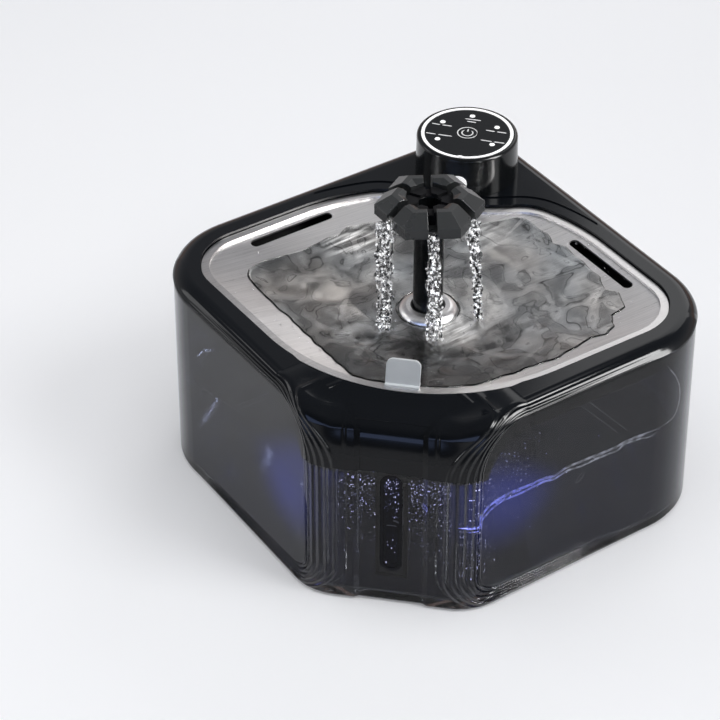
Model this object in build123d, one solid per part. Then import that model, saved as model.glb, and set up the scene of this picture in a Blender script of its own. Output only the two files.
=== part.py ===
from build123d import *
import os
from math import atan2, cos, degrees, radians, sin, sqrt

# Square pet water fountain standing on one corner of its plan: the front corner
# is cut off flat, a steel tray lies in a black frame, a pump at the bottom of the
# smoked tank feeds a riser tube with a six-sided nozzle, and a round control puck
# stands on the back corner.  Millimetres, +Z up, front towards -Y, symmetric in X.
# Side planes run at 45 degrees: u = (x + y) / sqrt 2 and v = (y - x) / sqrt 2.

# ---------------------------------------------------------------- overall sizes
FRAME_HALF = 98.0          # centre to side plane of the frame shoulder
WALL_HALF = FRAME_HALF - 0.4 # centre to side plane of the tank wall
FRONT_Y = FRAME_HALF + 6.4 # centre to the cut-off front face of the frame
CHANNEL_IN = 1.3           # how far the front channel lies behind that face
CHANNEL_HALF = FRAME_HALF - 15.1 # edge of the channel's floor down the front
CHANNEL_RAMP = 2.5         # width of the slope up from that floor
RAMP_STEPS = 5
TOP_Z = 105.0              # flat rim of the frame
SPLIT_Z = 99.6             # joint line between tank and frame
NOTCH_Z = 74.8             # lower edge of the frame's front bib
FLOOR_GAP = 0.6            # tank bottom above the table
CORNER_SIDE = 42.5         # plan radius of the left and right corners
CORNER_BACK = 31.0         # plan radius of the back corner
CORNER_FRONT = 27.0        # plan radius either side of the front face
SHOULDER = 7.5             # rounding of the frame's top edge
BASE_ROUND = 2.0           # rounding of the tank's bottom edge

# ------------------------------------------------------- ribbed panel surrounds
RIB_COUNT = 5              # nested steps round each side panel
RIB_RISE = 2.6             # how far the outermost rib stands proud of the panel
RIB_PITCH = 3.0            # spacing of the upright ribs
PANEL_EDGE = 42.0          # front edge of the panel, along the side
PANEL_TOP_ROUND = 25.0     # corner of the panel at its top front
PANEL_FOOT_ROUND = 11.0    # corner of the panel at its bottom front
PANEL_FOOT_Z = 8.0         # bottom edge of the panel
RIB_TOP_STEP = 1.25        # spacing of the ribs over the shoulder
RIB_FOOT_STEP = 1.1        # spacing of the ribs along the bottom
RIB_FADE = 50.0            # the ribs run out this far behind the middle
RIB_LEAD = 50.0            # and have their full height this far before it
GROOVE_DEEP = 0.7          # valley between two ribs, below the outer one
GROOVE_SHARE = 0.4         # its width as a share of the rib spacing

# -------------------------------------------------------------------- thickness
TANK_WALL = 2.4
TANK_FLOOR = 2.6
FRAME_WALL = 3.15
SKIRT_WALL = 1.6
SKIRT_DROP = 9.5
SKIRT_LAP = 4.0
DECK_THICK = 5.1
FIT = 0.35                 # clearance between parts that lift off each other
EDGE_GAP = 0.3             # clearance between curved edges of two bodies

# ------------------------------------------------------------ tray and its seat
TRAY_HALF = FRAME_HALF - 14.0
TRAY_CORNER = 27.3
TRAY_BACK = 102.0
TRAY_FRONT = 90.5
TRAY_SCOOP_R = 90.0        # hollow in the tray's back edge in front of the puck
TRAY_SCOOP_Y = FRAME_HALF - 34.1
TRAY_SCOOP_BLEND = 22.0
TRAY_TOP = 103.5
TRAY_SHEET = 0.8
TRAY_RIM = 3.7
TRAY_STEP = 1.2
TRAY_FLOOR_Z = 97.0        # top of the tray's flat middle
TRAY_FLOOR_HALF = 30.0
SEAT_LEDGE = 2.5
GASKET = 0.4
TONGUE_Z = 103.4           # top of the frame in front of the tray
TONGUE_ROLL = 10.0         # its rolled front edge
RECESS_HALF = TRAY_HALF + 0.5 # edge of the lowered front channel
SLOT_LINE = TRAY_HALF - 9.5
SLOT_START = -50.5
SLOT_END = -6.0
SLOT_WIDE = 5.0
TAB_WIDE = 15.2
TAB_HIGH = 12.0
TAB_THICK = 1.8
TAB_Y = 7.0 - TRAY_HALF
TAB_LEAN = 16.0

# -------------------------------------------------------------- tube and nozzle
TUBE_Y = -13.0
TUBE_R = 6.85
TUBE_BORE = 5.2
TUBE_TOP = 156.5
DOME_R = 13.75
DOME_TOP = 101.5
DOME_HOLE = 8.0
NOZZLE_TURN = 14.0
NOZZLE_R = 24.5
NOZZLE_TOP_R = 17.0
NOZZLE_BORE = 10.5
NOZZLE_LOW = TUBE_TOP - 4.5
NOZZLE_RIM = 5.0
NOZZLE_TOP = TUBE_TOP + 5.3
NOZZLE_SLOT = 4.0
NOZZLE_LIP_R = 14.0
NOZZLE_PLATE = 1.6
NOZZLE_PLATE_R = 15.5
SOCKET_FIT = 0.08

# ------------------------------------------------------------------------- puck
PUCK_Y = FRAME_HALF - 5.0
PUCK_R = 24.0
PUCK_FLARE = 0.5
PUCK_TOP = 126.0
PUCK_WALL = 1.8
DECK_RAISE = 0.6
PUCK_BOSS_R = 19.0
PUCK_BOSS = 1.6
RING_OUT = 22.0
RING_IN = 20.4
BUTTON_R = 5.0
BUTTON_PLAY = 0.75         # free height under the button's stem
LENS_R = 1.35
LENS_ORBIT = 15.1
SENSOR_Z = 113.5
SENSOR_R = 4.0
PORT_Z = 115.0

# -------------------------------------------------------- return pan and filter
PAN_HALF = FRAME_HALF - 7.0
PAN_FLOOR = 86.0
PAN_WALL = 1.8
BASKET_Y = 40.0
BASKET_X = 74.0
BASKET_D = 40.0
BASKET_LOW = 64.0
BASKET_WALL = 1.6

# ------------------------------------------------------------------------- pump
PUMP_X = 44.0
PUMP_Y0 = -27.0
PUMP_Y1 = 20.0
PUMP_LOW = 7.5
PUMP_TOP = 38.0
CAGE_DEEP = 17.0
ROTOR_Z = 22.0
CHAMBER_R = 12.5
SPIGOT_TOP = 54.0
TUBE_LOW = 44.0

# ------------------------------------------------------------------ water gauge
GAUGE_WIDE = 10.0
GAUGE_LOW = 18.7
GAUGE_HIGH = 73.6
GAUGE_DEEP = 1.2
FLOAT_Z = 46.8
FLOAT_HIGH = 5.6

# ------------------------------------------------------------- derived placings
TANK_LOW = FLOOR_GAP
TANK_INNER = WALL_HALF - TANK_WALL
TANK_FRONT = FRONT_Y - FRAME_HALF + WALL_HALF
TANK_INNER_FRONT = TANK_FRONT - CHANNEL_IN - TANK_WALL
SKIRT_HALF = TANK_INNER - FIT
VOID_HALF = SKIRT_HALF - SKIRT_WALL
POCKET_HALF = TRAY_HALF + EDGE_GAP
FLANGE_LOW = TRAY_TOP - TRAY_SHEET
POCKET_Z = FLANGE_LOW - GASKET
DECK_LOW = TOP_Z - DECK_THICK
DECK_TOP = TOP_Z + DECK_RAISE
BACK_TIP = sqrt(2) * FRAME_HALF - CORNER_BACK * (sqrt(2) - 1)
SHIFT_Y = (FRONT_Y - BACK_TIP) / 2
SIDE = Plane(origin=(0, 0, 0), x_dir=(1, 1, 0), z_dir=(1, -1, 0))


def cut_square(half, front, side_r, back_r, front_r, rise=0.0):
    """Square on one corner, cut off flat in front, rounded, as a face."""
    reach = sqrt(2) * half
    along = (RIB_FADE - half + sqrt(2) * front) / (RIB_FADE + RIB_LEAD + rise)
    kink_x = (RIB_FADE + half) / sqrt(2)
    kink_y = (RIB_FADE - half) / sqrt(2)
    tip_u = RIB_FADE - along * (RIB_FADE + RIB_LEAD)
    tip_v = -half - along * rise
    tip_x = (tip_u - tip_v) / sqrt(2)
    points = [(0, reach), (reach, 0), (kink_x, kink_y), (tip_x, -front)]
    points += [(-x, y) for x, y in reversed(points[1:])]
    if rise == 0:
        points = [p for p in points if abs(abs(p[0]) - kink_x) > 0.001]
    outline = make_face(Polyline(*points, close=True))
    corners = [((0, reach), back_r), ((reach, 0), side_r), ((-reach, 0), side_r)]
    corners += [((tip_x, -front), front_r), ((-tip_x, -front), front_r)]
    for place, radius in corners:
        spot = outline.vertices().sort_by_distance((*place, 0))[0]
        outline = fillet(spot, radius)
    return outline


def tray_outline(half):
    """Outline of the tray or of its seat: soft square with a hollowed back."""
    grow = half - TRAY_HALF
    reach = sqrt(2) * half
    outline = Rectangle(2 * half, 2 * half).rotate(Axis.Z, 45)
    radii = [((reach, 0), TRAY_CORNER), ((-reach, 0), TRAY_CORNER)]
    radii += [((0, reach), TRAY_BACK), ((0, -reach), TRAY_FRONT)]
    for place, radius in radii:
        spot = outline.vertices().sort_by_distance((*place, 0))[0]
        outline = fillet(spot, radius + grow)
    scoop_r = TRAY_SCOOP_R - grow
    outline -= Pos(0, TRAY_SCOOP_Y + TRAY_SCOOP_R) * Circle(scoop_r)
    horns = outline.vertices().sort_by(Axis.Y)[-2:]
    return fillet(horns, TRAY_SCOOP_BLEND + grow)


def slab(outline, low, high):
    """Extrude a plan outline between two heights."""
    return extrude(Pos(0, 0, low) * outline, high - low)


def panel_outline(step, shift=0.0, back=RIB_FADE):
    """Side panel seen square on; step 0 is the panel, higher steps surround it."""
    front = PANEL_EDGE + step * RIB_PITCH - shift
    top = SPLIT_Z + step * RIB_TOP_STEP
    foot = PANEL_FOOT_Z - step * RIB_FOOT_STEP
    face = Pos((back - front) / 2, (top + foot) / 2) * Rectangle(front + back, top - foot)
    upper = face.vertices().sort_by_distance((-front, top, 0))[0]
    face = fillet(upper, PANEL_TOP_ROUND + step * RIB_PITCH / 2)
    lower = face.vertices().sort_by_distance((-front, foot, 0))[0]
    return fillet(lower, PANEL_FOOT_ROUND + step)


def rounded_side(rise):
    """Solid whose outer face is the side, risen by the given amount at the front."""
    turn = degrees(atan2(rise, RIB_FADE + RIB_LEAD))
    length = RIB_FADE + RIB_LEAD + 80
    core = Pos(40 - length / 2, (TOP_Z - 20) / 2, -20) * Box(length, TOP_Z + 20, 40)
    rim = core.edges().filter_by(Axis.X).sort_by(lambda e: e.center().Y + e.center().Z)[-1]
    return Pos(RIB_FADE, 0, 0) * fillet(rim, SHOULDER).rotate(Axis.Y, turn)


def rib_cutters(half):
    """Nested cuts that leave one rib less at each step in, and the valleys between."""
    cutters = []
    for step in range(RIB_COUNT):
        hull = extrude(Pos(0, 0, -22) * panel_outline(step), 40)
        cutters.append(hull - rounded_side(RIB_RISE * step / RIB_COUNT))
        band = panel_outline(step + GROOVE_SHARE) - panel_outline(step - 0.06)
        valley = RIB_RISE * (step + 1) / RIB_COUNT - GROOVE_DEEP
        cutters.append(extrude(Pos(0, 0, -22) * band, 40) - rounded_side(valley))
    cutters = [SIDE * Pos(0, 0, half) * c for c in cutters]
    return cutters + [c.mirror(Plane.YZ) for c in cutters]


def envelope(half, front, low, rise=RIB_RISE):
    """Outer form shared by tank and frame, ribs and front channel included."""
    outline = cut_square(half, front, CORNER_SIDE, CORNER_BACK, CORNER_FRONT, rise)
    body = slab(outline, low, TOP_Z)
    body = fillet(body.edges().group_by(Axis.Z)[-1], SHOULDER)
    body = fillet(body.edges().group_by(Axis.Z)[0], BASE_ROUND)
    for cutter in rib_cutters(half):
        body -= cutter
    for step in range(RAMP_STEPS):
        body -= channel_cut(front, low, step)
    return body


def channel_cut(front, low, step):
    """Step 0 sinks the front channel and the tray field, the others slope its sides."""
    share = 1 - step / RAMP_STEPS
    point = sqrt(2) * (CHANNEL_HALF + CHANNEL_RAMP * step / RAMP_STEPS)
    field = make_face(Polyline((0, -point), (point / 2, -point / 2), (-point / 2, -point / 2), close=True))
    if step == 0:
        field += tray_outline(RECESS_HALF)
    top = TOP_Z if step else TONGUE_Z
    deep = 4 * RECESS_HALF
    core = Pos(0, deep / 2 - front + CHANNEL_IN * share, (low + top) / 2) * Box(deep, deep, top - low)
    face = core.faces().sort_by(Axis.Y)[0]
    core = fillet(face.edges().sort_by(Axis.Z)[-1], SHOULDER + (TONGUE_ROLL - SHOULDER) * share)
    low_edge = core.faces().sort_by(Axis.Y)[0].edges().sort_by(Axis.Z)[0]
    core = fillet(low_edge, BASE_ROUND)
    return slab(field, low - 1, TOP_Z + 5) - core


def below_joint(shift, top, low):
    """Room below the joint between tank and frame, stepped down at the front."""
    reach = 2 * FRAME_HALF
    front = PANEL_EDGE - shift
    face = Pos((reach - front) / 2, top / 2 - 5) * Rectangle(reach + front, top + 10)
    corner = face.vertices().sort_by_distance((-front, top, 0))[0]
    face = fillet(corner, PANEL_TOP_ROUND)
    side = SIDE * extrude(Pos(0, 0, -reach) * face, 2 * reach)
    under = Pos(0, 0, low / 2 - 5) * Box(3 * reach, 3 * reach, low + 10)
    return side + side.mirror(Plane.YZ) + under


def inset_square(inset, front):
    """The tank's plan outline drawn in by the given amount."""
    side_r = CORNER_SIDE - inset
    return cut_square(WALL_HALF - inset, front, side_r, CORNER_BACK - inset, CORNER_FRONT - inset)


def ring(outer, inner, low, high):
    """Plain ring between two heights."""
    return slab(Circle(outer) - Circle(inner), low, high)


def gauge_slot(shrink, front, deep):
    """Upright obround of the water gauge, sunk from the front face."""
    tall = GAUGE_HIGH - GAUGE_LOW
    place = Plane(origin=(0, -front, GAUGE_LOW + tall / 2), x_dir=(0, 0, 1), z_dir=(0, 1, 0))
    return extrude(place * SlotOverall(tall - 2 * shrink, GAUGE_WIDE - 2 * shrink), deep)


# ------------------------------------------------------------------------- tank
FLOOR_TOP = TANK_LOW + TANK_FLOOR
CHANNEL_FACE = TANK_FRONT - CHANNEL_IN
FOOT_R = 7.5
FOOT_HIGH = 1.4
FOOT_SPOTS = [(0, -82), (-92, 0), (92, 0), (0, 98)]


def make_tank():
    """Smoked tank: ribbed outside, straight inside, low lip at the front."""
    body = envelope(WALL_HALF, TANK_FRONT, TANK_LOW)
    body = body & below_joint(EDGE_GAP, SPLIT_Z, NOTCH_Z - 0.2)
    cavity = slab(inset_square(TANK_WALL, TANK_INNER_FRONT), FLOOR_TOP, TOP_Z)
    cavity = fillet(cavity.edges().group_by(Axis.Z)[0], 3)
    body -= cavity
    body -= gauge_slot(0, CHANNEL_FACE, GAUGE_DEEP)
    for x, y in FOOT_SPOTS:
        body -= Pos(x, y, 0) * slab(Circle(FOOT_R), 0, FOOT_HIGH)
    return body


def make_tank_feet():
    """Four round rubber pads let into the tank's underside."""
    return [Pos(x, y, 0) * slab(Circle(FOOT_R), 0, FOOT_HIGH) for x, y in FOOT_SPOTS]


def make_gauge_lens():
    """Clear window let into the front channel."""
    lens = gauge_slot(0.1, CHANNEL_FACE, GAUGE_DEEP)
    return lens - gauge_slot(1.6, CHANNEL_FACE, 0.4)


RAIL_IN = 5.5
RAIL_OUT = 7.2
RAIL_LOW = 14.0
RAIL_HIGH = NOTCH_Z - SKIRT_LAP - 2.0
RAIL_BACK = TANK_INNER_FRONT - 9.0


def make_float_guide():
    """Channel behind the gauge window in which the float rides."""
    deep = TANK_INNER_FRONT - RAIL_BACK
    middle = -(TANK_INNER_FRONT + RAIL_BACK) / 2
    tall = RAIL_HIGH - RAIL_LOW
    body = Pos(0, middle, RAIL_LOW + tall / 2) * Box(2 * RAIL_OUT, deep, tall)
    body -= Pos(0, middle - 1.4, RAIL_LOW + tall / 2) * Box(2 * RAIL_IN, deep, tall - 4)
    return body - Pos(0, -RAIL_BACK, RAIL_LOW + tall / 2) * Box(6, 6, tall - 4)


def make_level_float():
    """Float of the gauge, free in its channel."""
    deep = TANK_INNER_FRONT - RAIL_BACK - 1.4 - 2 * FIT
    middle = -TANK_INNER_FRONT + FIT + deep / 2
    block = Pos(0, middle, FLOAT_Z) * Box(2 * (RAIL_IN - FIT), deep, FLOAT_HIGH)
    return fillet(block.edges().filter_by(Axis.Z), 1.5)


# ------------------------------------------------------------------------ frame
SKIRT_FRONT = TANK_INNER_FRONT - FIT


def make_top_frame():
    """Black frame: ribbed shoulder, front bib, inner skirt, tray seat and deck."""
    shell = envelope(FRAME_HALF, FRONT_Y, TANK_LOW)
    shell -= below_joint(0, SPLIT_Z, NOTCH_Z)
    skirt = slab(inset_square(TANK_WALL + FIT, SKIRT_FRONT), NOTCH_Z - 2 * SKIRT_LAP, DECK_LOW + 1)
    skirt -= below_joint(SKIRT_LAP, SPLIT_Z - SKIRT_DROP, NOTCH_Z - SKIRT_LAP)
    body = shell + skirt
    void = inset_square(TANK_WALL + FIT + SKIRT_WALL, SKIRT_FRONT - SKIRT_WALL)
    body -= slab(void, 0, DECK_LOW)
    body += deck_pad()
    body -= slab(tray_outline(POCKET_HALF), POCKET_Z, TOP_Z + 5)
    body -= slab(tray_outline(TRAY_HALF - SEAT_LEDGE), 0, TOP_Z + 5)
    return body - Pos(0, PUCK_Y) * slab(Circle(PUCK_BOSS_R + FIT), DECK_TOP - PUCK_BOSS - 0.4, TOP_Z + 5)


def deck_pad():
    """Slightly raised flat on the back corner that carries the puck."""
    inset = WALL_HALF - FRAME_HALF + SHOULDER + 0.7
    pad = slab(inset_square(inset, FRONT_Y - SHOULDER), TOP_Z - 1, DECK_TOP)
    pad -= slab(tray_outline(RECESS_HALF + 6), 0, TOP_Z + 5)
    room = Pos(0, 2 * FRAME_HALF, TOP_Z) * Box(4 * FRAME_HALF, 4 * FRAME_HALF, 20)
    return max((pad & room).solids(), key=lambda s: s.volume)


def make_tray_gasket():
    """Silicone ring between the frame's ledge and the tray's rim."""
    outline = tray_outline(TRAY_HALF - 0.2) - tray_outline(TRAY_HALF - SEAT_LEDGE + 0.3)
    return slab(outline, POCKET_Z, FLANGE_LOW)


# ------------------------------------------------------------------------- tray
FLOOR_SHARE = 0.36


def tray_floor(outline):
    """Small copy of the tray outline round the tube, for the dished floor."""
    return Pos(0, TUBE_Y * (1 - FLOOR_SHARE)) * scale(outline, by=FLOOR_SHARE)


def tray_dish(half, rim_z, floor_z):
    """Solid with the dished underside: flat middle, slope up to the rim."""
    rim = tray_outline(half)
    return loft([Pos(0, 0, rim_z) * rim, Pos(0, 0, floor_z) * tray_floor(rim)], ruled=True)


def dome_profile(inset):
    """Half section of the pressed collar round the tube, drawn in by inset."""
    foot = (DOME_R - inset, TRAY_FLOOR_Z - TRAY_SHEET)
    spring = (DOME_R - inset, TRAY_FLOOR_Z)
    crown = (DOME_HOLE + 2.0, DOME_TOP - inset)
    mid = (DOME_R - 0.9 - inset, DOME_TOP - 1.8 - inset / 2)
    arc = ThreePointArc(spring, mid, crown)
    lines = [Line((0, foot[1]), foot), Line(foot, spring), Line(crown, (0, crown[1]))]
    lines.append(Line((0, crown[1]), (0, foot[1])))
    face = make_face(Curve() + lines + arc)
    return Plane.XZ * face


def make_tray():
    """Pressed steel tray: rim, small step, dished floor, collar, two slots."""
    wall = TRAY_HALF - TRAY_RIM
    step_z = TRAY_TOP - TRAY_STEP
    body = slab(tray_outline(TRAY_HALF), FLANGE_LOW, TRAY_TOP)
    body += slab(tray_outline(wall + TRAY_SHEET), step_z - TRAY_SHEET, FLANGE_LOW)
    body += tray_dish(wall + TRAY_SHEET, step_z - TRAY_SHEET, TRAY_FLOOR_Z - TRAY_SHEET)
    body -= slab(tray_outline(wall), step_z, TRAY_TOP + 1)
    body -= tray_dish(wall, step_z, TRAY_FLOOR_Z)
    body += Pos(0, TUBE_Y, 0) * revolve(dome_profile(0), Axis.Z)
    body -= Pos(0, TUBE_Y, 0) * revolve(dome_profile(TRAY_SHEET), Axis.Z)
    body -= Pos(0, TUBE_Y) * slab(Circle(DOME_HOLE), 0, DOME_TOP + 1)
    slot = SlotOverall(SLOT_END - SLOT_START, SLOT_WIDE)
    middle = (SLOT_START + SLOT_END) / 2
    right = Rot(0, 0, 45) * Pos(SLOT_LINE, middle) * Rot(0, 0, 90) * slot
    cutter = slab(right, 0, TOP_Z)
    return body - cutter - cutter.mirror(Plane.YZ)


def make_tray_tab():
    """Soft lifting tab standing on the tray's front rim."""
    strap = Pos(0, TAB_Y, TRAY_TOP + 0.6) * Box(TAB_WIDE, 4.4, 1.2)
    blade = Pos(0, 0, TAB_HIGH / 2) * Box(TAB_WIDE, TAB_THICK, TAB_HIGH)
    tops = blade.edges().filter_by(Axis.Y).group_by(Axis.Z)[-1]
    blade = fillet(tops, 3)
    blade = Pos(0, TAB_Y, TRAY_TOP + 0.3) * Rot(-TAB_LEAN, 0, 0) * blade
    body = strap + blade
    return body - Pos(0, TAB_Y, TRAY_TOP - 5) * Box(40, 40, 10)


def make_tube_grommet():
    """Rubber bush under the tray's collar that centres the tube."""
    bore = TUBE_R + FIT
    low = DOME_TOP - TRAY_SHEET
    body = ring(DOME_HOLE, bore, low, DOME_TOP - 0.2)
    body += ring(DOME_HOLE + 1.6, bore, low - 1.4, low)
    return Pos(0, TUBE_Y, 0) * body


# -------------------------------------------------------------- tube and nozzle
def make_riser_tube():
    """Upright tube from the pump's outlet to the nozzle."""
    return Pos(0, TUBE_Y, 0) * ring(TUBE_R, TUBE_BORE, TUBE_LOW, TUBE_TOP)


def hexagon(radius):
    """Six-sided outline of the nozzle, turned as it stands on the tube."""
    return RegularPolygon(radius, 6, rotation=NOZZLE_TURN)


def make_nozzle_head():
    """Six-sided head split by six slots into bevelled segments."""
    shoulder = NOZZLE_LOW + NOZZLE_RIM
    high = NOZZLE_TOP - NOZZLE_LOW
    body = slab(hexagon(NOZZLE_R), NOZZLE_LOW, shoulder)
    body += loft([Pos(0, 0, shoulder) * hexagon(NOZZLE_R), Pos(0, 0, NOZZLE_TOP) * hexagon(NOZZLE_TOP_R)])
    crater = Pos(0, 0, NOZZLE_TOP - 1.6) * hexagon(NOZZLE_BORE)
    body -= loft([crater, Pos(0, 0, NOZZLE_TOP) * hexagon(NOZZLE_LIP_R)])
    body -= slab(Circle(NOZZLE_BORE), NOZZLE_LOW, NOZZLE_TOP + 1)
    for index in range(6):
        notch = Pos(NOZZLE_R / 2 + NOZZLE_BORE - 1, 0, NOZZLE_LOW + high / 2) * Box(NOZZLE_R, NOZZLE_SLOT, high + 2)
        body -= Rot(0, 0, NOZZLE_TURN + 30 + 60 * index) * notch
    body += ring(NOZZLE_PLATE_R, TUBE_R + SOCKET_FIT, NOZZLE_LOW - NOZZLE_PLATE, NOZZLE_LOW)
    return Pos(0, TUBE_Y, 0) * body


def make_nozzle_insert():
    """Bush on the tube inside the nozzle; grooves in its top lead to the slots."""
    body = ring(NOZZLE_BORE - 0.1, TUBE_R + SOCKET_FIT, NOZZLE_LOW, TUBE_TOP)
    body += ring(NOZZLE_BORE - 0.1, TUBE_BORE, TUBE_TOP, TUBE_TOP + 2.0)
    for index in range(6):
        groove = Pos(NOZZLE_BORE - 2, 0, TUBE_TOP + 1.4) * Box(10, 2.4, 1.4)
        body -= Rot(0, 0, NOZZLE_TURN + 30 + 60 * index) * groove
    return Pos(0, TUBE_Y, 0) * body


# ------------------------------------------------------------------------- puck
FLAP_AXIS_Y = PUCK_Y + PUCK_R + PUCK_FLARE + 1.0
FLAP_AXIS_Z = PORT_Z - 4.5
FLAP_WIDE = 12.0
FLAP_PIN_R = 0.7
EAR_THICK = 1.2
PUCK_LOW = DECK_TOP
BASE_THICK = 2.0
POST_R = 2.5
DISC_Z = PUCK_TOP - 2.2
BOARD_Z = PUCK_TOP - 6.0


def make_puck_housing():
    """Drum-shaped shell of the control puck, open below, stepped on top."""
    foot_r = PUCK_R + PUCK_FLARE
    body = loft([Pos(0, 0, PUCK_LOW) * Circle(foot_r), Pos(0, 0, PUCK_TOP) * Circle(PUCK_R)])
    body = fillet(body.edges().group_by(Axis.Z)[-1], 1.4)
    body -= slab(Circle(PUCK_R - PUCK_WALL), PUCK_LOW - 1, DISC_Z - 1.4)
    body -= slab(Circle(RING_OUT), DISC_Z, PUCK_TOP + 1)
    body -= slab(Circle(BUTTON_R + FIT), PUCK_LOW, PUCK_TOP + 1)
    for x, y in screw_spots():
        body += Pos(x, y) * ring(POST_R, 1.25, PUCK_LOW + BASE_THICK, DISC_Z - 1.4)
    for x, y in lens_spots():
        body -= Pos(x, y) * slab(Circle(LENS_R + 0.1), PUCK_LOW, PUCK_TOP)
    body -= Pos(0, 0, SENSOR_Z) * Rot(90, 0, 0) * extrude(Circle(SENSOR_R - 1), 2 * PUCK_R)
    body -= Pos(0, PUCK_R, PORT_Z) * Box(9.4, 8, 3.6)
    return Pos(0, PUCK_Y, 0) * body + flap_ears()


def across(radius, half):
    """Round bar along X on the flap's hinge axis."""
    bar = Rot(0, 90, 0) * extrude(Circle(radius), half, both=True)
    return Pos(0, FLAP_AXIS_Y, FLAP_AXIS_Z) * bar


def flap_ears():
    """Two small ears under the charging socket that hold the flap's pin."""
    inner = FLAP_WIDE / 2 + 0.3
    ears = across(FLAP_PIN_R + 1.0, inner + EAR_THICK)
    reach = FLAP_AXIS_Y - (PUCK_Y + PUCK_R - 1.2)
    wide = 2 * (inner + EAR_THICK)
    ears += Pos(0, FLAP_AXIS_Y - reach / 2, FLAP_AXIS_Z) * Box(wide, reach, 2 * FLAP_PIN_R + 2)
    ears -= Pos(0, FLAP_AXIS_Y + 2.6, FLAP_AXIS_Z) * Box(2 * inner, 8, 8)
    return ears - across(FLAP_PIN_R + 0.06, 20)


def lens_spots():
    """Five indicator places: six-fold round the button, the front one left out."""
    return [(LENS_ORBIT * cos(radians(a)), LENS_ORBIT * sin(radians(a))) for a in (-30, 30, 90, 150, 210)]


def make_puck_light_ring():
    """White light ring let into the top, arched inwards at the front."""
    body = ring(RING_OUT - 0.1, RING_IN, DISC_Z, PUCK_TOP + 0.1)
    arch = slab(Circle(2.2), DISC_Z, PUCK_TOP + 0.1) - slab(Circle(1.1), 0, PUCK_TOP + 1)
    body -= Pos(0, -RING_OUT) * slab(Circle(1.1), 0, PUCK_TOP + 1)
    body += (Pos(0, -RING_OUT) * arch) & slab(Circle(RING_OUT - 0.1), 0, PUCK_TOP + 1)
    return Pos(0, PUCK_Y, 0) * body


def make_puck_top_disc():
    """Dark top panel with holes for the button and the indicators."""
    body = slab(Circle(RING_IN - 0.1), DISC_Z, PUCK_TOP - 0.1)
    body -= Pos(0, -RING_OUT) * slab(Circle(2.3), 0, PUCK_TOP + 1)
    body -= slab(Circle(BUTTON_R + 0.25), 0, PUCK_TOP + 1)
    for x, y in lens_spots():
        body -= Pos(x, y) * slab(Circle(LENS_R), 0, PUCK_TOP + 1)
    return Pos(0, PUCK_Y, 0) * body


def make_power_button():
    """Round button with a stem down to the circuit board's switch."""
    body = slab(Circle(BUTTON_R), DISC_Z - 1, PUCK_TOP + 0.1)
    body = fillet(body.edges().group_by(Axis.Z)[-1], 0.3)
    body += slab(Circle(1.6), BOARD_Z + 2.1 + BUTTON_PLAY, DISC_Z - 1)
    return Pos(0, PUCK_Y, 0) * body


def make_mode_lenses():
    """Five small light pipes from the board to the top panel."""
    spots = lens_spots()
    return [Pos(x, PUCK_Y + y) * slab(Circle(LENS_R - 0.05), BOARD_Z + 1.6, PUCK_TOP) for x, y in spots]


def make_sensor_lens():
    """White dome of the proximity sensor in the front wall."""
    stem = Rot(90, 0, 0) * extrude(Circle(SENSOR_R - 1.1), PUCK_R + 0.5)
    stem -= Pos(0, PUCK_R / 2 - PUCK_WALL - 1, 0) * Box(40, PUCK_R + PUCK_R, 40)
    cap_r = 2 * SENSOR_R
    dome = Pos(0, cap_r - PUCK_R - 1.9, 0) * Sphere(cap_r)
    dome = dome & (Rot(90, 0, 0) * extrude(Circle(SENSOR_R), 2 * PUCK_R))
    dome -= Pos(0, 0, -SENSOR_Z) * slab(Circle(PUCK_R + 0.55), 0, PUCK_TOP)
    return Pos(0, PUCK_Y, SENSOR_Z) * (stem + dome)


def make_puck_base():
    """Bottom plate with the round boss that drops into the deck."""
    body = slab(Circle(PUCK_R - PUCK_WALL - 0.1), PUCK_LOW, PUCK_LOW + BASE_THICK)
    body += slab(Circle(PUCK_BOSS_R), PUCK_LOW - PUCK_BOSS, PUCK_LOW)
    for x, y in screw_spots():
        body -= Pos(x, y) * slab(Circle(2.3), 0, PUCK_LOW - PUCK_BOSS + 1.4)
        body -= Pos(x, y) * slab(Circle(1.3), 0, PUCK_TOP)
    return Pos(0, PUCK_Y, 0) * body


def screw_spots():
    """Screw places on the puck's bottom plate."""
    reach = PUCK_BOSS_R - 5
    return [(reach * x, reach * y) for x, y in ((0.7, 0.7), (-0.7, 0.7), (-0.7, -0.7), (0.7, -0.7))]


def make_puck_screws():
    """Four small screws with round heads."""
    low = PUCK_LOW - PUCK_BOSS
    one = slab(Circle(2.2), low + 0.2, low + 1.4) + slab(Circle(1.2), low + 1.4, low + 6.4)
    one -= Pos(0, 0, low + 0.2) * (Box(0.6, 2.6, 1) + Box(2.6, 0.6, 1))
    return [Pos(x, PUCK_Y + y) * one for x, y in screw_spots()]


def make_puck_battery():
    """Rechargeable pack lying between the screw posts."""
    box = Pos(0, 0, PUCK_LOW + BASE_THICK + 4.5) * Box(34, 12.5, 9)
    return Pos(0, PUCK_Y, 0) * fillet(box.edges().filter_by(Axis.Y), 3)


def make_puck_board():
    """Round circuit board on four posts, with the button's switch."""
    body = slab(Circle(PUCK_R - PUCK_WALL - 0.5), BOARD_Z, BOARD_Z + 1.6)
    body += slab(Rectangle(5, 5), BOARD_Z + 1.6, BOARD_Z + 2.1)
    low = PUCK_LOW + BASE_THICK
    for angle in (20, 160, 200, 340):
        body += Rot(0, 0, angle) * Pos(PUCK_R - PUCK_WALL - 2.2, 0) * slab(Circle(1.5), low, BOARD_Z)
    for x, y in screw_spots():
        body -= Pos(x, y) * slab(Circle(POST_R + FIT), 0, PUCK_TOP)
    return Pos(0, PUCK_Y, 0) * body


PORT_WIDE = 9.0
PORT_HIGH = 3.2


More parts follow.
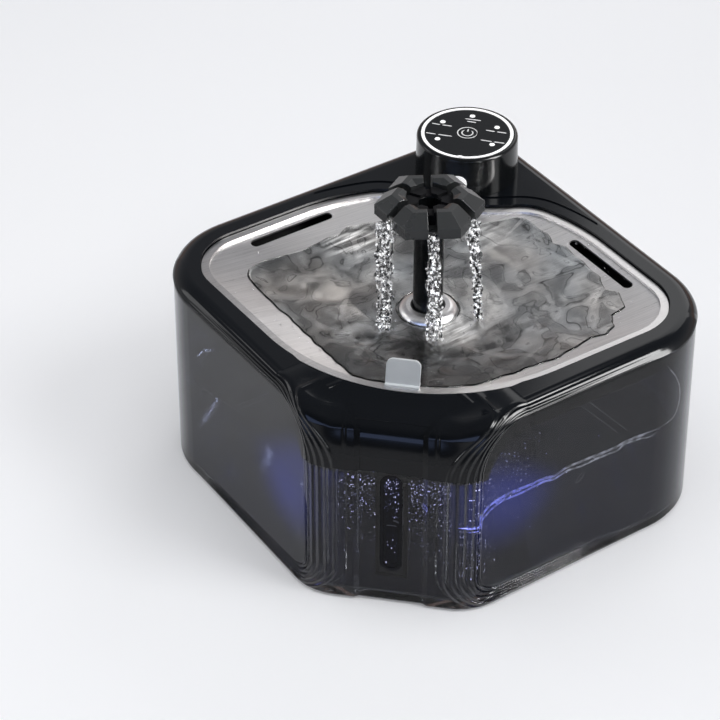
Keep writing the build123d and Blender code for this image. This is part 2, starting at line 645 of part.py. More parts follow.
def make_charge_port():
    """Metal shell of the charging socket in the puck's back wall."""
    shell = Pos(0, PUCK_R - 4.4, PORT_Z) * Box(PORT_WIDE, 8, PORT_HIGH)
    shell = fillet(shell.edges().filter_by(Axis.Y), 1.4)
    return Pos(0, PUCK_Y, 0) * (shell - Pos(0, PUCK_R - 3.4, PORT_Z) * Box(PORT_WIDE - 0.8, 7, PORT_HIGH - 0.8))




def make_port_plug():
    """Rubber flap over the charging socket, hinged at its lower edge."""
    plate = Pos(0, FLAP_AXIS_Y - 0.1, FLAP_AXIS_Z + 4.25) * Box(FLAP_WIDE, 1.2, 8.5)
    plate = fillet(plate.edges().filter_by(Axis.Y).group_by(Axis.Z)[-1], 1.5)
    reach = FLAP_AXIS_Y - (PUCK_Y + PUCK_R - 0.4) + 1.3
    plug = Pos(0, FLAP_AXIS_Y - reach / 2, PORT_Z) * Box(PORT_WIDE - 1.8, reach, 1.7)
    return plate + plug + across(FLAP_PIN_R, FLAP_WIDE / 2 + 0.3 + EAR_THICK - 0.1)


# -------------------------------------------------------- return pan and filter
PAN_FLOOR_TOP = PAN_FLOOR + PAN_WALL


def make_catch_pan():
    """Black pan under the tray that leads the water to the filter."""
    inset = WALL_HALF - PAN_HALF
    front = SKIRT_FRONT - SKIRT_WALL - 2.4
    body = slab(inset_square(inset, front), PAN_FLOOR, DECK_LOW)
    body -= slab(inset_square(inset + PAN_WALL, front - PAN_WALL), PAN_FLOOR_TOP, DECK_LOW + 1)
    body += Pos(0, TUBE_Y) * slab(Circle(TUBE_R + 4.2), PAN_FLOOR, PAN_FLOOR_TOP + 5)
    body -= Pos(0, TUBE_Y) * slab(Circle(TUBE_R + 2.4), 0, TOP_Z)
    opening = Rectangle(BASKET_X + 2 * FIT, BASKET_D + 2 * FIT)
    return body - Pos(0, BASKET_Y) * slab(opening, 0, TOP_Z)


def make_filter_basket():
    """Basket that hangs in the pan by its rim, with a slotted floor."""
    rim = Rectangle(BASKET_X + 7, BASKET_D + 7)
    body = slab(fillet(rim.vertices(), 4), PAN_FLOOR_TOP, PAN_FLOOR_TOP + 1.4)
    body += slab(Rectangle(BASKET_X, BASKET_D), BASKET_LOW, PAN_FLOOR_TOP)
    inner = Rectangle(BASKET_X - 2 * BASKET_WALL, BASKET_D - 2 * BASKET_WALL)
    body -= slab(inner, BASKET_LOW + BASKET_WALL, TOP_Z)
    slots = GridLocations(8, 0, 8, 1) * Rectangle(4.4, BASKET_D - 3 * BASKET_WALL - 2)
    body -= slab(Sketch() + slots, 0, TOP_Z)
    return Pos(0, BASKET_Y, 0) * body


def make_filter_cartridge():
    """Soft filter block lying on the basket's floor."""
    wide = BASKET_X - 2 * BASKET_WALL - 2 * FIT
    deep = BASKET_D - 2 * BASKET_WALL - 2 * FIT
    block = slab(Rectangle(wide, deep), BASKET_LOW + BASKET_WALL, PAN_FLOOR_TOP - 2)
    return Pos(0, BASKET_Y, 0) * fillet(block.edges().filter_by(Axis.Z), 3)


# ------------------------------------------------------------------------- pump
PUMP_DEEP = PUMP_Y1 - PUMP_Y0
PUMP_MID = (PUMP_Y0 + PUMP_Y1) / 2
ROTOR_R = 7.0
WELL_END = PUMP_Y1 - 6.0
CHAMBER_END = TUBE_Y + 6.0
SHAFT_R = 1.2
VOLUTE_THICK = 1.6


def along_y(radius, y0, y1):
    """Round bar along Y on the impeller's axis."""
    bar = Rot(-90, 0, 0) * extrude(Circle(radius), y1 - y0)
    return Pos(0, y0, ROTOR_Z) * bar


def make_pump_housing():
    """Pump body with impeller chamber, rotor well and outlet spigot."""
    body = Pos(0, PUMP_MID, PUMP_LOW) * slab(Rectangle(PUMP_X, PUMP_DEEP), 0, PUMP_TOP - PUMP_LOW)
    body = fillet(body.edges().filter_by(Axis.Z).group_by(Axis.Y)[-1], 9)
    body = fillet(body.edges().group_by(Axis.Z)[-1].filter_by(Axis.X), 3)
    body -= along_y(CHAMBER_R, PUMP_Y0, CHAMBER_END)
    body -= along_y(ROTOR_R + 0.6, CHAMBER_END - 1, WELL_END)
    body -= along_y(SHAFT_R + 0.02, WELL_END - 1, WELL_END + 3)
    body += Pos(0, TUBE_Y) * slab(Circle(TUBE_R + 1.2), PUMP_TOP, TUBE_LOW)
    body += Pos(0, TUBE_Y) * slab(Circle(TUBE_BORE - 0.08), TUBE_LOW, SPIGOT_TOP)
    return body - Pos(0, TUBE_Y) * slab(Circle(TUBE_BORE - 1.4), ROTOR_Z, SPIGOT_TOP + 1)


def make_pump_cover():
    """Cover that closes the chamber and carries the slotted intake cage."""
    high = PUMP_TOP - PUMP_LOW
    mid = PUMP_LOW + high / 2
    body = Pos(0, PUMP_Y0 - CAGE_DEEP / 2, mid) * Box(PUMP_X, CAGE_DEEP, high)
    body = fillet(body.edges().filter_by(Axis.Z).group_by(Axis.Y)[0], 6)
    room = CAGE_DEEP - VOLUTE_THICK - 1.6
    body -= Pos(0, PUMP_Y0 - VOLUTE_THICK - room / 2, mid) * Box(PUMP_X - 3.2, room, high - 3.2)
    body -= along_y(5.0, PUMP_Y0 - VOLUTE_THICK - 1, PUMP_Y0 + 1)
    for x in (-14, -8.4, -2.8, 2.8, 8.4, 14):
        body -= Pos(x, PUMP_Y0 - CAGE_DEEP, mid) * Box(2.8, 4, high - 9)
    return body + along_y(SHAFT_R + 1.4, PUMP_Y0 - 0.01, PUMP_Y0 + 1.5) + spider() - shaft_bore()


def spider():
    """Three-armed bridge across the intake that holds the shaft's front end."""
    arms = along_y(SHAFT_R + 1.4, PUMP_Y0 - VOLUTE_THICK, PUMP_Y0)
    for angle in (0, 120, 240):
        arm = Pos(0, 0, 2.75) * Box(1.4, VOLUTE_THICK, 5.5)
        arms += Pos(0, PUMP_Y0 - VOLUTE_THICK / 2, ROTOR_Z) * Rot(0, angle, 0) * arm
    return arms


def shaft_bore():
    """Blind bearing hole for the shaft's front end."""
    return along_y(SHAFT_R + 0.02, PUMP_Y0 - 1.0, PUMP_Y0 + 5)


def make_impeller_shaft():
    """Thin ceramic shaft that the rotor turns on."""
    return along_y(SHAFT_R, PUMP_Y0 - 0.9, WELL_END + 2.9)


def make_impeller():
    """Magnet rotor with six straight blades in the chamber."""
    front = PUMP_Y0 + 2.0
    body = along_y(ROTOR_R, CHAMBER_END + 0.5, WELL_END - 0.6)
    body += along_y(3.4, front, CHAMBER_END + 0.5)
    body += along_y(CHAMBER_R - 1.5, CHAMBER_END - 1.8, CHAMBER_END - 0.6)
    blade_y = (front + CHAMBER_END - 1.8) / 2
    reach = CHAMBER_R - 1.5
    for index in range(6):
        blade = Pos(reach / 2, 0, 0) * Box(reach, CHAMBER_END - 1.8 - front, 1.2)
        body += Pos(0, blade_y, ROTOR_Z) * Rot(0, 60 * index, 0) * blade
    return body - along_y(SHAFT_R + 0.08, PUMP_Y0, WELL_END)


def make_intake_sponge():
    """Foam block in the intake cage."""
    high = PUMP_TOP - PUMP_LOW - 3.2 - 2 * FIT
    deep = CAGE_DEEP - VOLUTE_THICK - 1.6 - 2 * FIT
    mid = PUMP_LOW + (PUMP_TOP - PUMP_LOW) / 2
    return Pos(0, PUMP_Y0 - VOLUTE_THICK - FIT - deep / 2, mid) * Box(PUMP_X - 3.2 - 2 * FIT, deep, high)


def make_pump_cups():
    """Four suction cups that hold the pump to the tank's floor."""
    tall = PUMP_LOW - FLOOR_TOP
    points = [(0, 0), (6.5, 0), (6.5, 0.8), (3.0, tall - 1.2), (3.0, tall), (0, tall)]
    cup = revolve(Plane.XZ * make_face(Polyline(*points, close=True)), Axis.Z)
    spots = [(x, y) for x in (-14, 14) for y in (PUMP_Y0 + 7, PUMP_Y1 - 8)]
    return [Pos(x, y, FLOOR_TOP) * cup for x, y in spots]


def make_led_ring():
    """Clear ring of lights on the pump, round the outlet."""
    body = ring(TUBE_R + 5.5, TUBE_R + 1.3, PUMP_TOP, PUMP_TOP + 2.4)
    return Pos(0, TUBE_Y, 0) * body


# ----------------------------------------------------------------------- export
def as_solid(shape):
    """One shape out of a list of separate solids, or the shape itself."""
    return Compound(shape) if isinstance(shape, list) else shape


PARTS = {
    "tank": make_tank,
    "tank_feet": make_tank_feet,
    "gauge_lens": make_gauge_lens,
    "float_guide": make_float_guide,
    "level_float": make_level_float,
    "top_frame": make_top_frame,
    "tray_gasket": make_tray_gasket,
    "catch_pan": make_catch_pan,
    "filter_basket": make_filter_basket,
    "filter_cartridge": make_filter_cartridge,
    "tray": make_tray,
    "tray_tab": make_tray_tab,
    "tube_grommet": make_tube_grommet,
    "riser_tube": make_riser_tube,
    "nozzle_head": make_nozzle_head,
    "nozzle_insert": make_nozzle_insert,
    "puck_housing": make_puck_housing,
    "puck_light_ring": make_puck_light_ring,
    "puck_top_disc": make_puck_top_disc,
    "power_button": make_power_button,
    "mode_lenses": make_mode_lenses,
    "sensor_lens": make_sensor_lens,
    "puck_base": make_puck_base,
    "puck_screws": make_puck_screws,
    "puck_battery": make_puck_battery,
    "puck_board": make_puck_board,
    "charge_port": make_charge_port,
    "port_plug": make_port_plug,
    "pump_housing": make_pump_housing,
    "pump_cover": make_pump_cover,
    "impeller": make_impeller,
    "impeller_shaft": make_impeller_shaft,
    "intake_sponge": make_intake_sponge,
    "pump_cups": make_pump_cups,
    "led_ring": make_led_ring,
}

os.makedirs("parts", exist_ok=True)
for name, make in PARTS.items():
    export_step(Pos(0, SHIFT_Y, 0) * as_solid(make()), f"parts/{name}.step")
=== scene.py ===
import bpy
from functools import partial
import numpy as np
from mathutils import Matrix


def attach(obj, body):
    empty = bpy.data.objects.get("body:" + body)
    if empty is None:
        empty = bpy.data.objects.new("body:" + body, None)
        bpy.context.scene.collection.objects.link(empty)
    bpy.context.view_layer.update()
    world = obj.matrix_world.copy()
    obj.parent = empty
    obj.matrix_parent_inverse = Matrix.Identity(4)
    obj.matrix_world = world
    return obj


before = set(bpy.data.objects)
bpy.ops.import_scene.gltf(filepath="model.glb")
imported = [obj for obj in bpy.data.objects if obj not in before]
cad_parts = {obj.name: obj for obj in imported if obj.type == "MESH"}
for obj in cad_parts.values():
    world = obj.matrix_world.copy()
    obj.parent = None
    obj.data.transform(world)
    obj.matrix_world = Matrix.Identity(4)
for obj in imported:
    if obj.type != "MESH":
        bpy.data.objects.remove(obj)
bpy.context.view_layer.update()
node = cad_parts

# Camera: a long lens that looks down on the fountain at 37 degrees, a little
# from the right of its cut-off front. It aims beside the square body's middle,
# which stands 10.7 mm in front of the whole part's.
body_y = -0.010676
turn, tilt = np.radians(10.99), np.radians(37.21)
distance, to_left, to_top = 1.4559, 0.0332, 0.04785
focal_pixels, frame_pixels, sensor_width = 3061.9, 720.0, 36.0
right = np.array([np.cos(turn), np.sin(turn), 0.0])
ahead = np.array([-np.sin(turn) * np.cos(tilt), np.cos(turn) * np.cos(tilt), -np.sin(tilt)])
up = np.cross(right, ahead)
eye = np.array([0.0, body_y, 0.0]) - to_left * right + to_top * up - distance * ahead


def placed(*columns):
    """An object's matrix from four columns: its three axes and its place."""
    return Matrix([[*map(float, row)] for row in np.column_stack(columns)] + [[0, 0, 0, 1]])


camera = bpy.data.objects.new("camera", bpy.data.cameras.new("camera"))
camera.data.sensor_width = sensor_width
camera.data.lens = sensor_width * focal_pixels / frame_pixels
camera.matrix_world = placed(right, up, -ahead, eye)
bpy.context.scene.collection.objects.link(camera)
bpy.context.scene.camera = camera
bpy.context.scene.view_settings.view_transform = "Standard"


# Studio floor: wide pale paper that keeps the fountain's shadow. What looks
# at it straight, in a reflection or through clear plastic sees it glow a
# little, more towards the front and the left; it lights nothing.
def wire(tree, kind, sockets=None, **settings):
    """One shader node: settings are its own options, sockets its inputs, each a value or an output to link from."""
    made = tree.nodes.new(kind)
    for name, value in settings.items():
        setattr(made, name, value)
    for name, value in (sockets or {}).items():
        if isinstance(value, bpy.types.NodeSocket):
            tree.links.new(value, made.inputs[name])
        else:
            made.inputs[name].default_value = value
    return made


def calc(tree, operation, *terms, **more):
    """Math on outputs and numbers: one term for a root or a cosine, two or more for the rest, worked out from the left."""
    total = terms[0]
    for term in terms[1:] or (None,):
        given = {0: total} if term is None else {0: total, 1: term}
        total = wire(tree, "ShaderNodeMath", given, operation=operation, **more).outputs[0]
    return total


def ramp(tree, value, low, high, start, end, ease="LINEAR"):
    """A value that goes from start to end while the one given goes from low to high, and stays level past them."""
    sockets = {"Value": value, "From Min": low, "From Max": high, "To Min": start, "To Max": end}
    return wire(tree, "ShaderNodeMapRange", sockets, interpolation_type=ease).outputs["Result"]


def mix(tree, share, first, second):
    """A colour that goes from the first to the second as the share goes from 0 to 1."""
    sockets = {"Factor": share, "A": first, "B": second}
    return wire(tree, "ShaderNodeMix", sockets, data_type="RGBA").outputs["Result"]


def object_place(tree):
    """Object coordinates."""
    return wire(tree, "ShaderNodeTexCoord").outputs["Object"]


def noise(tree, place, scale, detail, **more):
    """Noise from 0 to 1 with this many cells per metre."""
    sockets = {"Vector": place, "Scale": scale, "Detail": detail, **more}
    return wire(tree, "ShaderNodeTexNoise", sockets).outputs["Fac"]


def blank(name):
    """A new material and its empty node tree."""
    made = bpy.data.materials.new(name)
    made.use_nodes = True
    made.node_tree.nodes.clear()
    return made, made.node_tree


def principled(tree, **sockets):
    """The material's shader, with its sockets set or linked, wired to the surface."""
    shader = wire(tree, "ShaderNodeBsdfPrincipled", {key.replace("_", " "): value for key, value in sockets.items()})
    wire(tree, "ShaderNodeOutputMaterial", {"Surface": shader.outputs[0]})


def as_piece(name, points, faces):
    """A smooth object from an array of points and a list of faces."""
    mesh = bpy.data.meshes.new(name)
    mesh.from_pydata(points.reshape(-1, 3).tolist(), [], faces)
    mesh.shade_smooth()
    piece = bpy.data.objects.new(name, mesh)
    bpy.context.scene.collection.objects.link(piece)
    return piece


floor = as_piece("studio_floor", 6.0 * np.array([[-1, -1, 0], [1, -1, 0], [1, 1, 0], [-1, 1, 0]]), [[0, 1, 2, 3]])
paper, tree = blank("studio_floor_paper")
place = object_place(tree)
axes = wire(tree, "ShaderNodeSeparateXYZ", {"Vector": place}).outputs
seen = wire(tree, "ShaderNodeLightPath").outputs
mirrored = calc(tree, "MULTIPLY", seen["Is Glossy Ray"], 0.8)
looked_at = calc(tree, "MAXIMUM", seen["Is Camera Ray"], mirrored, seen["Is Transmission Ray"])
level = calc(tree, "MULTIPLY", ramp(tree, axes["Y"], -0.45, 0.35, 0.235, 0.155), ramp(tree, axes["X"], -0.10, 0.25, 1.0, 0.55))
tint = mix(tree, noise(tree, place, 3.0, 2.0), (0.80, 0.81, 0.83, 1), (0.83, 0.83, 0.84, 1))
principled(tree, Base_Color=tint, Roughness=0.9, Specular_IOR_Level=0.0,
           Emission_Color=(0.97, 0.975, 1.0, 1), Emission_Strength=calc(tree, "MULTIPLY", looked_at, level))
floor.data.materials.append(paper)


# Studio room: pale low down and darker overhead and towards the front, with
# brown woodwork low behind.
def scaled(tree, colour, share):
    """A colour times a share."""
    return wire(tree, "ShaderNodeVectorMath", {0: colour, "Scale": share}, operation="SCALE").outputs[0]


sky = bpy.data.worlds.new("studio_sky")
bpy.context.scene.world = sky
sky.use_nodes = True
tree = sky.node_tree
tree.nodes.clear()
way = wire(tree, "ShaderNodeSeparateXYZ", {"Vector": wire(tree, "ShaderNodeTexCoord").outputs["Generated"]}).outputs
fade = wire(tree, "ShaderNodeValToRGB", {"Fac": way["Z"]})
for stop, height, colour in zip(fade.color_ramp.elements, (0.0, 0.75), ((0.88, 0.88, 0.90, 1), (0.20, 0.21, 0.23, 1))):
    stop.position, stop.color = height, colour
dimmed = scaled(tree, fade.outputs["Color"], ramp(tree, way["Y"], -0.8, -0.2, 0.15, 1.0, "SMOOTHSTEP"))
low_behind = calc(tree, "MULTIPLY", ramp(tree, way["Y"], 0.3, 0.9, 0.0, 1.0), ramp(tree, way["Z"], 0.12, 0.40, 1.0, 0.0))
walls = mix(tree, low_behind, dimmed, (0.60, 0.40, 0.32, 1))
lit = wire(tree, "ShaderNodeBackground", {"Color": walls, "Strength": 1.0})
wire(tree, "ShaderNodeOutputWorld", {"Surface": lit.outputs[0]})


# Studio lamps: one large soft lamp high on the right, weaker ones on the left
# and behind, one overhead that lights without showing in gloss, and four
# cards that only gloss shows.
def lamp(name, place, wide, high, power, colour=(1, 1, 1)):
    """Soft lamp, wide by high, that stands at a place and faces the fountain."""
    made = bpy.data.objects.new(name, bpy.data.lights.new(name, "AREA"))
    made.data.shape, made.data.size, made.data.size_y = "RECTANGLE", wide, high
    made.data.energy, made.data.color = power, colour
    back = np.array(place, float) - (0, 0, 0.05)
    back /= np.linalg.norm(back)
    side = np.cross([0, 0, 1], back)
    side /= np.linalg.norm(side)
    made.matrix_world = placed(side, np.cross(back, side), back, place)
    bpy.context.scene.collection.objects.link(made)
    return made


lamp("key_lamp", (1.15, -0.30, 1.35), 0.7, 0.7, 10.5)
lamp("side_lamp", (-1.4, 0.1, 0.72), 0.5, 0.5, 2.2)
lamp("overhead_lamp", (0.02, -0.30, 1.9), 1.5, 1.5, 15.0).visible_glossy = False
lamp("back_lamp", (0.35, 1.5, 1.1), 0.9, 0.9, 4.5)
lamp("strip_card", (1.045, -0.18, 0.70), 0.34, 1.15, 37.0).visible_diffuse = False
lamp("front_right_card", (0.78, -1.03, 0.55), 0.14, 0.60, 3.2, (0.95, 0.98, 1)).visible_diffuse = False
lamp("front_left_card", (-1.11, -0.67, 0.55), 0.14, 0.60, 3.2, (0.95, 0.98, 1)).visible_diffuse = False
lamp("front_card", (-0.18, -1.19, 0.54), 0.95, 0.50, 4.4, (0.42, 0.56, 1.0)).visible_diffuse = False


# Tank: smoked clear plastic, moulded in one piece with the ribs round its side
# panels. Every moulded part has a faint waviness and a few dull patches from
# handling, and the ribs' rounding is worked out once for tank and frame.
def moulded_skin():
    """Node group: roughness that varies in soft patches and a fine waviness, both from noise in object space."""
    group = bpy.data.node_groups.new("moulded_skin", "ShaderNodeTree")
    for name in ("Roughness", "Spread", "Patch", "Grain", "Depth"):
        group.interface.new_socket(name, in_out="INPUT", socket_type="NodeSocketFloat")
    group.interface.new_socket("Normal", in_out="INPUT", socket_type="NodeSocketVector").hide_value = True
    group.interface.new_socket("Roughness", in_out="OUTPUT", socket_type="NodeSocketFloat")
    group.interface.new_socket("Normal", in_out="OUTPUT", socket_type="NodeSocketVector")
    given = group.nodes.new("NodeGroupInput").outputs
    place = object_place(group)
    swing = ramp(group, noise(group, place, given["Patch"], 4.0, Roughness=0.6), 0.3, 0.7, -0.5, 0.5)
    rough = calc(group, "ADD", calc(group, "MULTIPLY", swing, given["Spread"]), given["Roughness"], use_clamp=True)
    bump = wire(group, "ShaderNodeBump", {"Height": noise(group, place, given["Grain"], 2.0), "Strength": given["Depth"],
                                          "Distance": 0.0005, "Normal": given["Normal"]})
    wire(group, "NodeGroupOutput", {"Roughness": rough, "Normal": bump.outputs["Normal"]})
    return group


def rib_waves():
    """Node group: rounded ribs round each side panel. Step k counts ribs outwards from the panel: the distance past a quarter
    circle at its top and bottom corner, over the ribs' spacing in that direction. Height is a cosine of k, fading to the back,
    plus a straight slope up from each side of the front channel, and on the bib a lip that curls in smoothly from 82 to 108 mm
    up with a crease 20.5 mm either side of the middle."""
    group = bpy.data.node_groups.new("rib_waves", "ShaderNodeTree")
    group.interface.new_socket("Height", in_out="OUTPUT", socket_type="NodeSocketFloat")
    axes = wire(group, "ShaderNodeSeparateXYZ", {"Vector": object_place(group)}).outputs
    add, take, times, over = (partial(calc, group, name) for name in ("ADD", "SUBTRACT", "MULTIPLY", "DIVIDE"))
    most, least = partial(calc, group, "MAXIMUM"), partial(calc, group, "MINIMUM")
    x = calc(group, "ABSOLUTE", axes["X"])
    along = times(add(x, axes["Y"], -body_y), 0.70711)

    def steps_out(centre, radius, height, facing, grow, shift, rise):
        """Step k past a corner's quarter circle: (distance - radius) / (grow + shift cos + rise sin)."""
        front = most(take(-centre, along), 0.0)
        high = most(times(take(axes["Z"], height), facing), 0.0)
        away = most(calc(group, "SQRT", add(times(front, front), times(high, high))), 0.0001)
        pitch = add(times(over(front, away), shift), times(over(high, away), rise), grow)
        return over(take(away, radius), pitch), pitch

    upper, upper_pitch = steps_out(0.017, 0.025, 0.0746, 1.0, 0.0015, 0.0015, -0.00025)
    lower, lower_pitch = steps_out(0.031, 0.011, 0.019, -1.0, 0.0010, 0.0020, 0.0001)
    step = most(upper, lower)
    wave = add(times(calc(group, "COSINE", times(take(step, 0.7), 6.28319)), 0.5), 0.5)
    on_ribs = times(ramp(group, step, -0.3, 0.2, 0.0, 1.0, "SMOOTHSTEP"), ramp(group, step, 4.7, 5.2, 1.0, 0.0, "SMOOTHSTEP"))
    to_back = ramp(group, along, -0.005, 0.06, 1.0, 0.0)
    height = times(wave, on_ribs, to_back, times(least(upper_pitch, lower_pitch), 333.0))
    spread = times(take(x, add(axes["Y"], -body_y)), 0.70711)
    slope = times(ramp(group, spread, 0.0829, 0.0854, 0.0, 1.6), ramp(group, axes["Z"], 0.098, 0.105, 1.0, 0.0))
    lip = ramp(group, axes["Z"], 0.082, 0.108, 0.0, 1.0, "SMOOTHSTEP")
    on_bib = ramp(group, axes["Y"], -0.109, -0.084, 1.0, 0.0, "SMOOTHSTEP")
    curl = times(lip, ramp(group, x, 0.022, 0.046, 1.0, 0.0, "SMOOTHSTEP"), on_bib, -10.0)
    off_crease = over(take(x, 0.0205), 0.0009)
    crease = times(calc(group, "EXPONENT", times(off_crease, off_crease, -1.0)), times(lip, take(1.0, lip), 2.4), on_bib)
    wire(group, "NodeGroupOutput", {"Height": add(height, slope, curl, crease)})
    return group


skin, ribs = moulded_skin(), rib_waves()
rib_depth = 0.0008


def finish(name, colour, rough, spread=0.08, patch=30.0, grain=900.0, depth=0.02, edge=0.0, ribbed=0.0, **fixed):
    """Moulded finish: a colour that drifts by 18 percent either way, with the shared skin's roughness and waviness, and
    edges rounded by a small radius."""
    made, tree = blank(name)
    darker, lighter = [c * 0.82 for c in colour], [min(c * 1.18, 1) for c in colour]
    tint = mix(tree, noise(tree, object_place(tree), patch * 1.7, 3.0), (*darker, 1), (*lighter, 1))
    coat = wire(tree, "ShaderNodeGroup", {"Roughness": rough, "Spread": spread, "Patch": patch, "Grain": grain, "Depth": depth},
                node_tree=skin)
    if edge:
        rounded = wire(tree, "ShaderNodeBevel", {"Radius": edge}, samples=6)
        tree.links.new(rounded.outputs["Normal"], coat.inputs["Normal"])
    if ribbed:
        wave = wire(tree, "ShaderNodeGroup", node_tree=ribs)
        rounded = wire(tree, "ShaderNodeBump", {"Height": wave.outputs["Height"], "Strength": 1.0, "Distance": ribbed})
        tree.links.new(rounded.outputs["Normal"], coat.inputs["Normal"])
    principled(tree, Base_Color=tint, Roughness=coat.outputs["Roughness"], Normal=coat.outputs["Normal"], **fixed)
    return made


def dress(material, *names):
    """Give CAD nodes one material."""
    for name in names:
        node[name].data.materials.clear()
        node[name].data.materials.append(material)


dress(finish("smoked_plastic", (0.10, 0.105, 0.12), 0.02, spread=0.02, grain=260.0, depth=0.0, ribbed=rib_depth,
             Transmission_Weight=1.0, IOR=1.36), "tank")

# Rubber and silicone: four pads let into the tank's underside, the pump's
# suction cups, the seal under the tray, the sleeve round the tube and the plug
# of the charging socket. The lifting tab is moulded over the tray's front edge.
dress(finish("black_rubber", (0.02, 0.02, 0.021), 0.7, spread=0.15, grain=2400.0, depth=0.2),
      "tank_feet", "pump_cups", "tray_gasket", "tube_grommet", "port_plug")
dress(finish("grey_silicone", (0.61, 0.64, 0.66), 0.5), "tray_tab")

# Frame: gloss black moulding with the ribbed shoulder and the front bib, which
# sits on the tank's rim. Tube, puck shell and button are moulded of the same,
# with their edges rounded by 0.4 mm.
fine_edge = 0.0004
dress(finish("black_gloss", (0.005, 0.006, 0.008), 0.12, spread=0.06, grain=500.0, depth=0.0, ribbed=rib_depth,
             Specular_IOR_Level=0.2), "top_frame")
dress(finish("black_gloss_fine", (0.007, 0.008, 0.009), 0.14, spread=0.06, grain=500.0, depth=0.0, edge=fine_edge,
             Specular_IOR_Level=0.25), "riser_tube", "puck_housing", "puck_top_disc", "power_button")

# Nozzle: satin black six-sided head, pushed on the tube. Its dull insert
# spreads the water to the six slots.
dress(finish("black_satin", (0.024, 0.026, 0.027), 0.28, spread=0.08, grain=700.0, depth=0.01, edge=fine_edge), "nozzle_head")
dress(finish("bore_black", (0.004, 0.004, 0.005), 0.7, Specular_IOR_Level=0.15), "nozzle_insert")

# Matt black mouldings: the pan and the filter basket that hang in the frame,
# the float's rails, the puck's base and the pump's shells.
dress(finish("black_matte", (0.022, 0.022, 0.024), 0.5, spread=0.1, grain=3000.0, depth=0.12),
      "float_guide", "catch_pan", "filter_basket", "puck_base", "pump_housing", "pump_cover")

# Filter, pump and lamp ring: white fleece in the basket, a foam sleeve round
# the intake, a bonded magnet on a ceramic shaft, and blue lights behind a
# clear ring on the pump.
dress(finish("filter_cloth", (0.8, 0.8, 0.78), 0.9), "filter_cartridge")
dress(finish("sponge", (0.05, 0.05, 0.055), 0.95), "intake_sponge")
dress(finish("magnet", (0.08, 0.08, 0.09), 0.4), "impeller")
dress(finish("ceramic", (0.85, 0.85, 0.82), 0.2), "impeller_shaft")
dress(finish("led_lens", (0.5, 0.55, 0.95), 0.2, Emission_Strength=3.0, Emission_Color=(0.25, 0.28, 1.0, 1)), "led_ring")

# Puck: lit white ring, mode lights and sensor dome in its top, and inside it
# the battery, the board, the base screws and the charging socket.
dress(finish("white_lens", (0.9, 0.9, 0.9), 0.3, Emission_Strength=0.35, Emission_Color=(1, 1, 1, 1)),
      "puck_light_ring", "mode_lenses", "sensor_lens")
dress(finish("screw_steel", (0.5, 0.5, 0.5), 0.3, Metallic=1.0), "puck_screws", "charge_port")
dress(finish("cell_wrap", (0.1, 0.22, 0.45), 0.4), "puck_battery")
dress(finish("board_green", (0.02, 0.16, 0.07), 0.4), "puck_board")


# Tray: pressed from thin sheet steel, brushed along one diagonal. It lies in
# the frame on its seal and lifts out.
def drawn_out(tree, place, degrees, stretch):
    """Object coordinates turned about the upright axis, then scaled by its own factor along each, so that noise runs in streaks."""
    turned = wire(tree, "ShaderNodeMapping", {"Vector": place, "Rotation": (0, 0, np.radians(degrees))})
    return wire(tree, "ShaderNodeMapping", {"Vector": turned.outputs["Vector"], "Scale": stretch}).outputs["Vector"]


def brushed(name, colour, warm, rough):
    """Brushed sheet: noise drawn out about 80 times along the grain drives roughness and fine scratches; the colour drifts warm."""
    made, tree = blank(name)
    place = object_place(tree)
    lines = noise(tree, drawn_out(tree, place, -40, (28.0, 2200.0, 300.0)), 1.0, 4.0, Roughness=0.65)
    tint = mix(tree, noise(tree, place, 14.0, 2.0), (*colour, 1), (*warm, 1))
    cut = wire(tree, "ShaderNodeBump", {"Height": lines, "Strength": 0.10, "Distance": 0.0002})
    principled(tree, Base_Color=scaled(tree, tint, ramp(tree, lines, 0.3, 0.7, 0.82, 1.08)), Metallic=1.0, Anisotropic=0.5,
               Roughness=ramp(tree, lines, 0.3, 0.7, rough - 0.07, rough + 0.08), Normal=cut.outputs["Normal"])
    return made


dress(brushed("brushed_steel", (0.68, 0.68, 0.69), (0.68, 0.64, 0.61), 0.34), "tray")

# Drinking pool: the water that stands in the tray round the tube and runs out
# in a thin film over the front of the dish. It lies 0.1 mm off the steel.
tube_at = np.array([0.0, body_y - 0.013])
pool_level, collar_reach = 0.0993, 0.0141
dish_floor, dish_rise, flat_share = 0.097, 0.0053, 0.36
landing = np.array([[-0.0163, -0.0326], [0.0069, -0.0365], [0.0235, -0.0164]]) + [0, body_y]


def tray_reach(angle):
    """Distance from the tube to the tray's inner wall: a square on its corner with four rounded corners and a hollow at the
    back."""
    turn = np.radians(np.array([0.0, 90.0, 180.0, 270.0]))
    radius = np.array([0.0236, 0.0983, 0.0236, 0.0868])
    spot = np.sqrt(2) * (0.0803 - radius)
    a = turn[:, None] + np.linspace(-np.pi / 4, np.pi / 4, 120)
    x = (spot * np.cos(turn))[:, None] + radius[:, None] * np.cos(a)
    y = (spot * np.sin(turn))[:, None] + radius[:, None] * np.sin(a)
    x, y = np.append(x, x[0, 0]), np.append(y, y[0, 0])
    fine = np.arange(0, len(x) - 1, 0.05)
    x, y = np.interp(fine, np.arange(len(x)), x), np.interp(fine, np.arange(len(y)), y)
    y = np.minimum(y, 0.1539 - np.sqrt(np.maximum(0.0937 ** 2 - x ** 2, 0))) + 0.013
    order = np.argsort(np.arctan2(y, x))
    return np.interp(angle, np.arctan2(y, x)[order], np.hypot(x, y)[order], period=2 * np.pi)


def dish_height(share):
    """The tray's steel: flat to 36 percent of the way out, then a straight slope up to the wall."""
    return dish_floor + dish_rise * np.clip((share - flat_share) / (1 - flat_share), 0, 1)


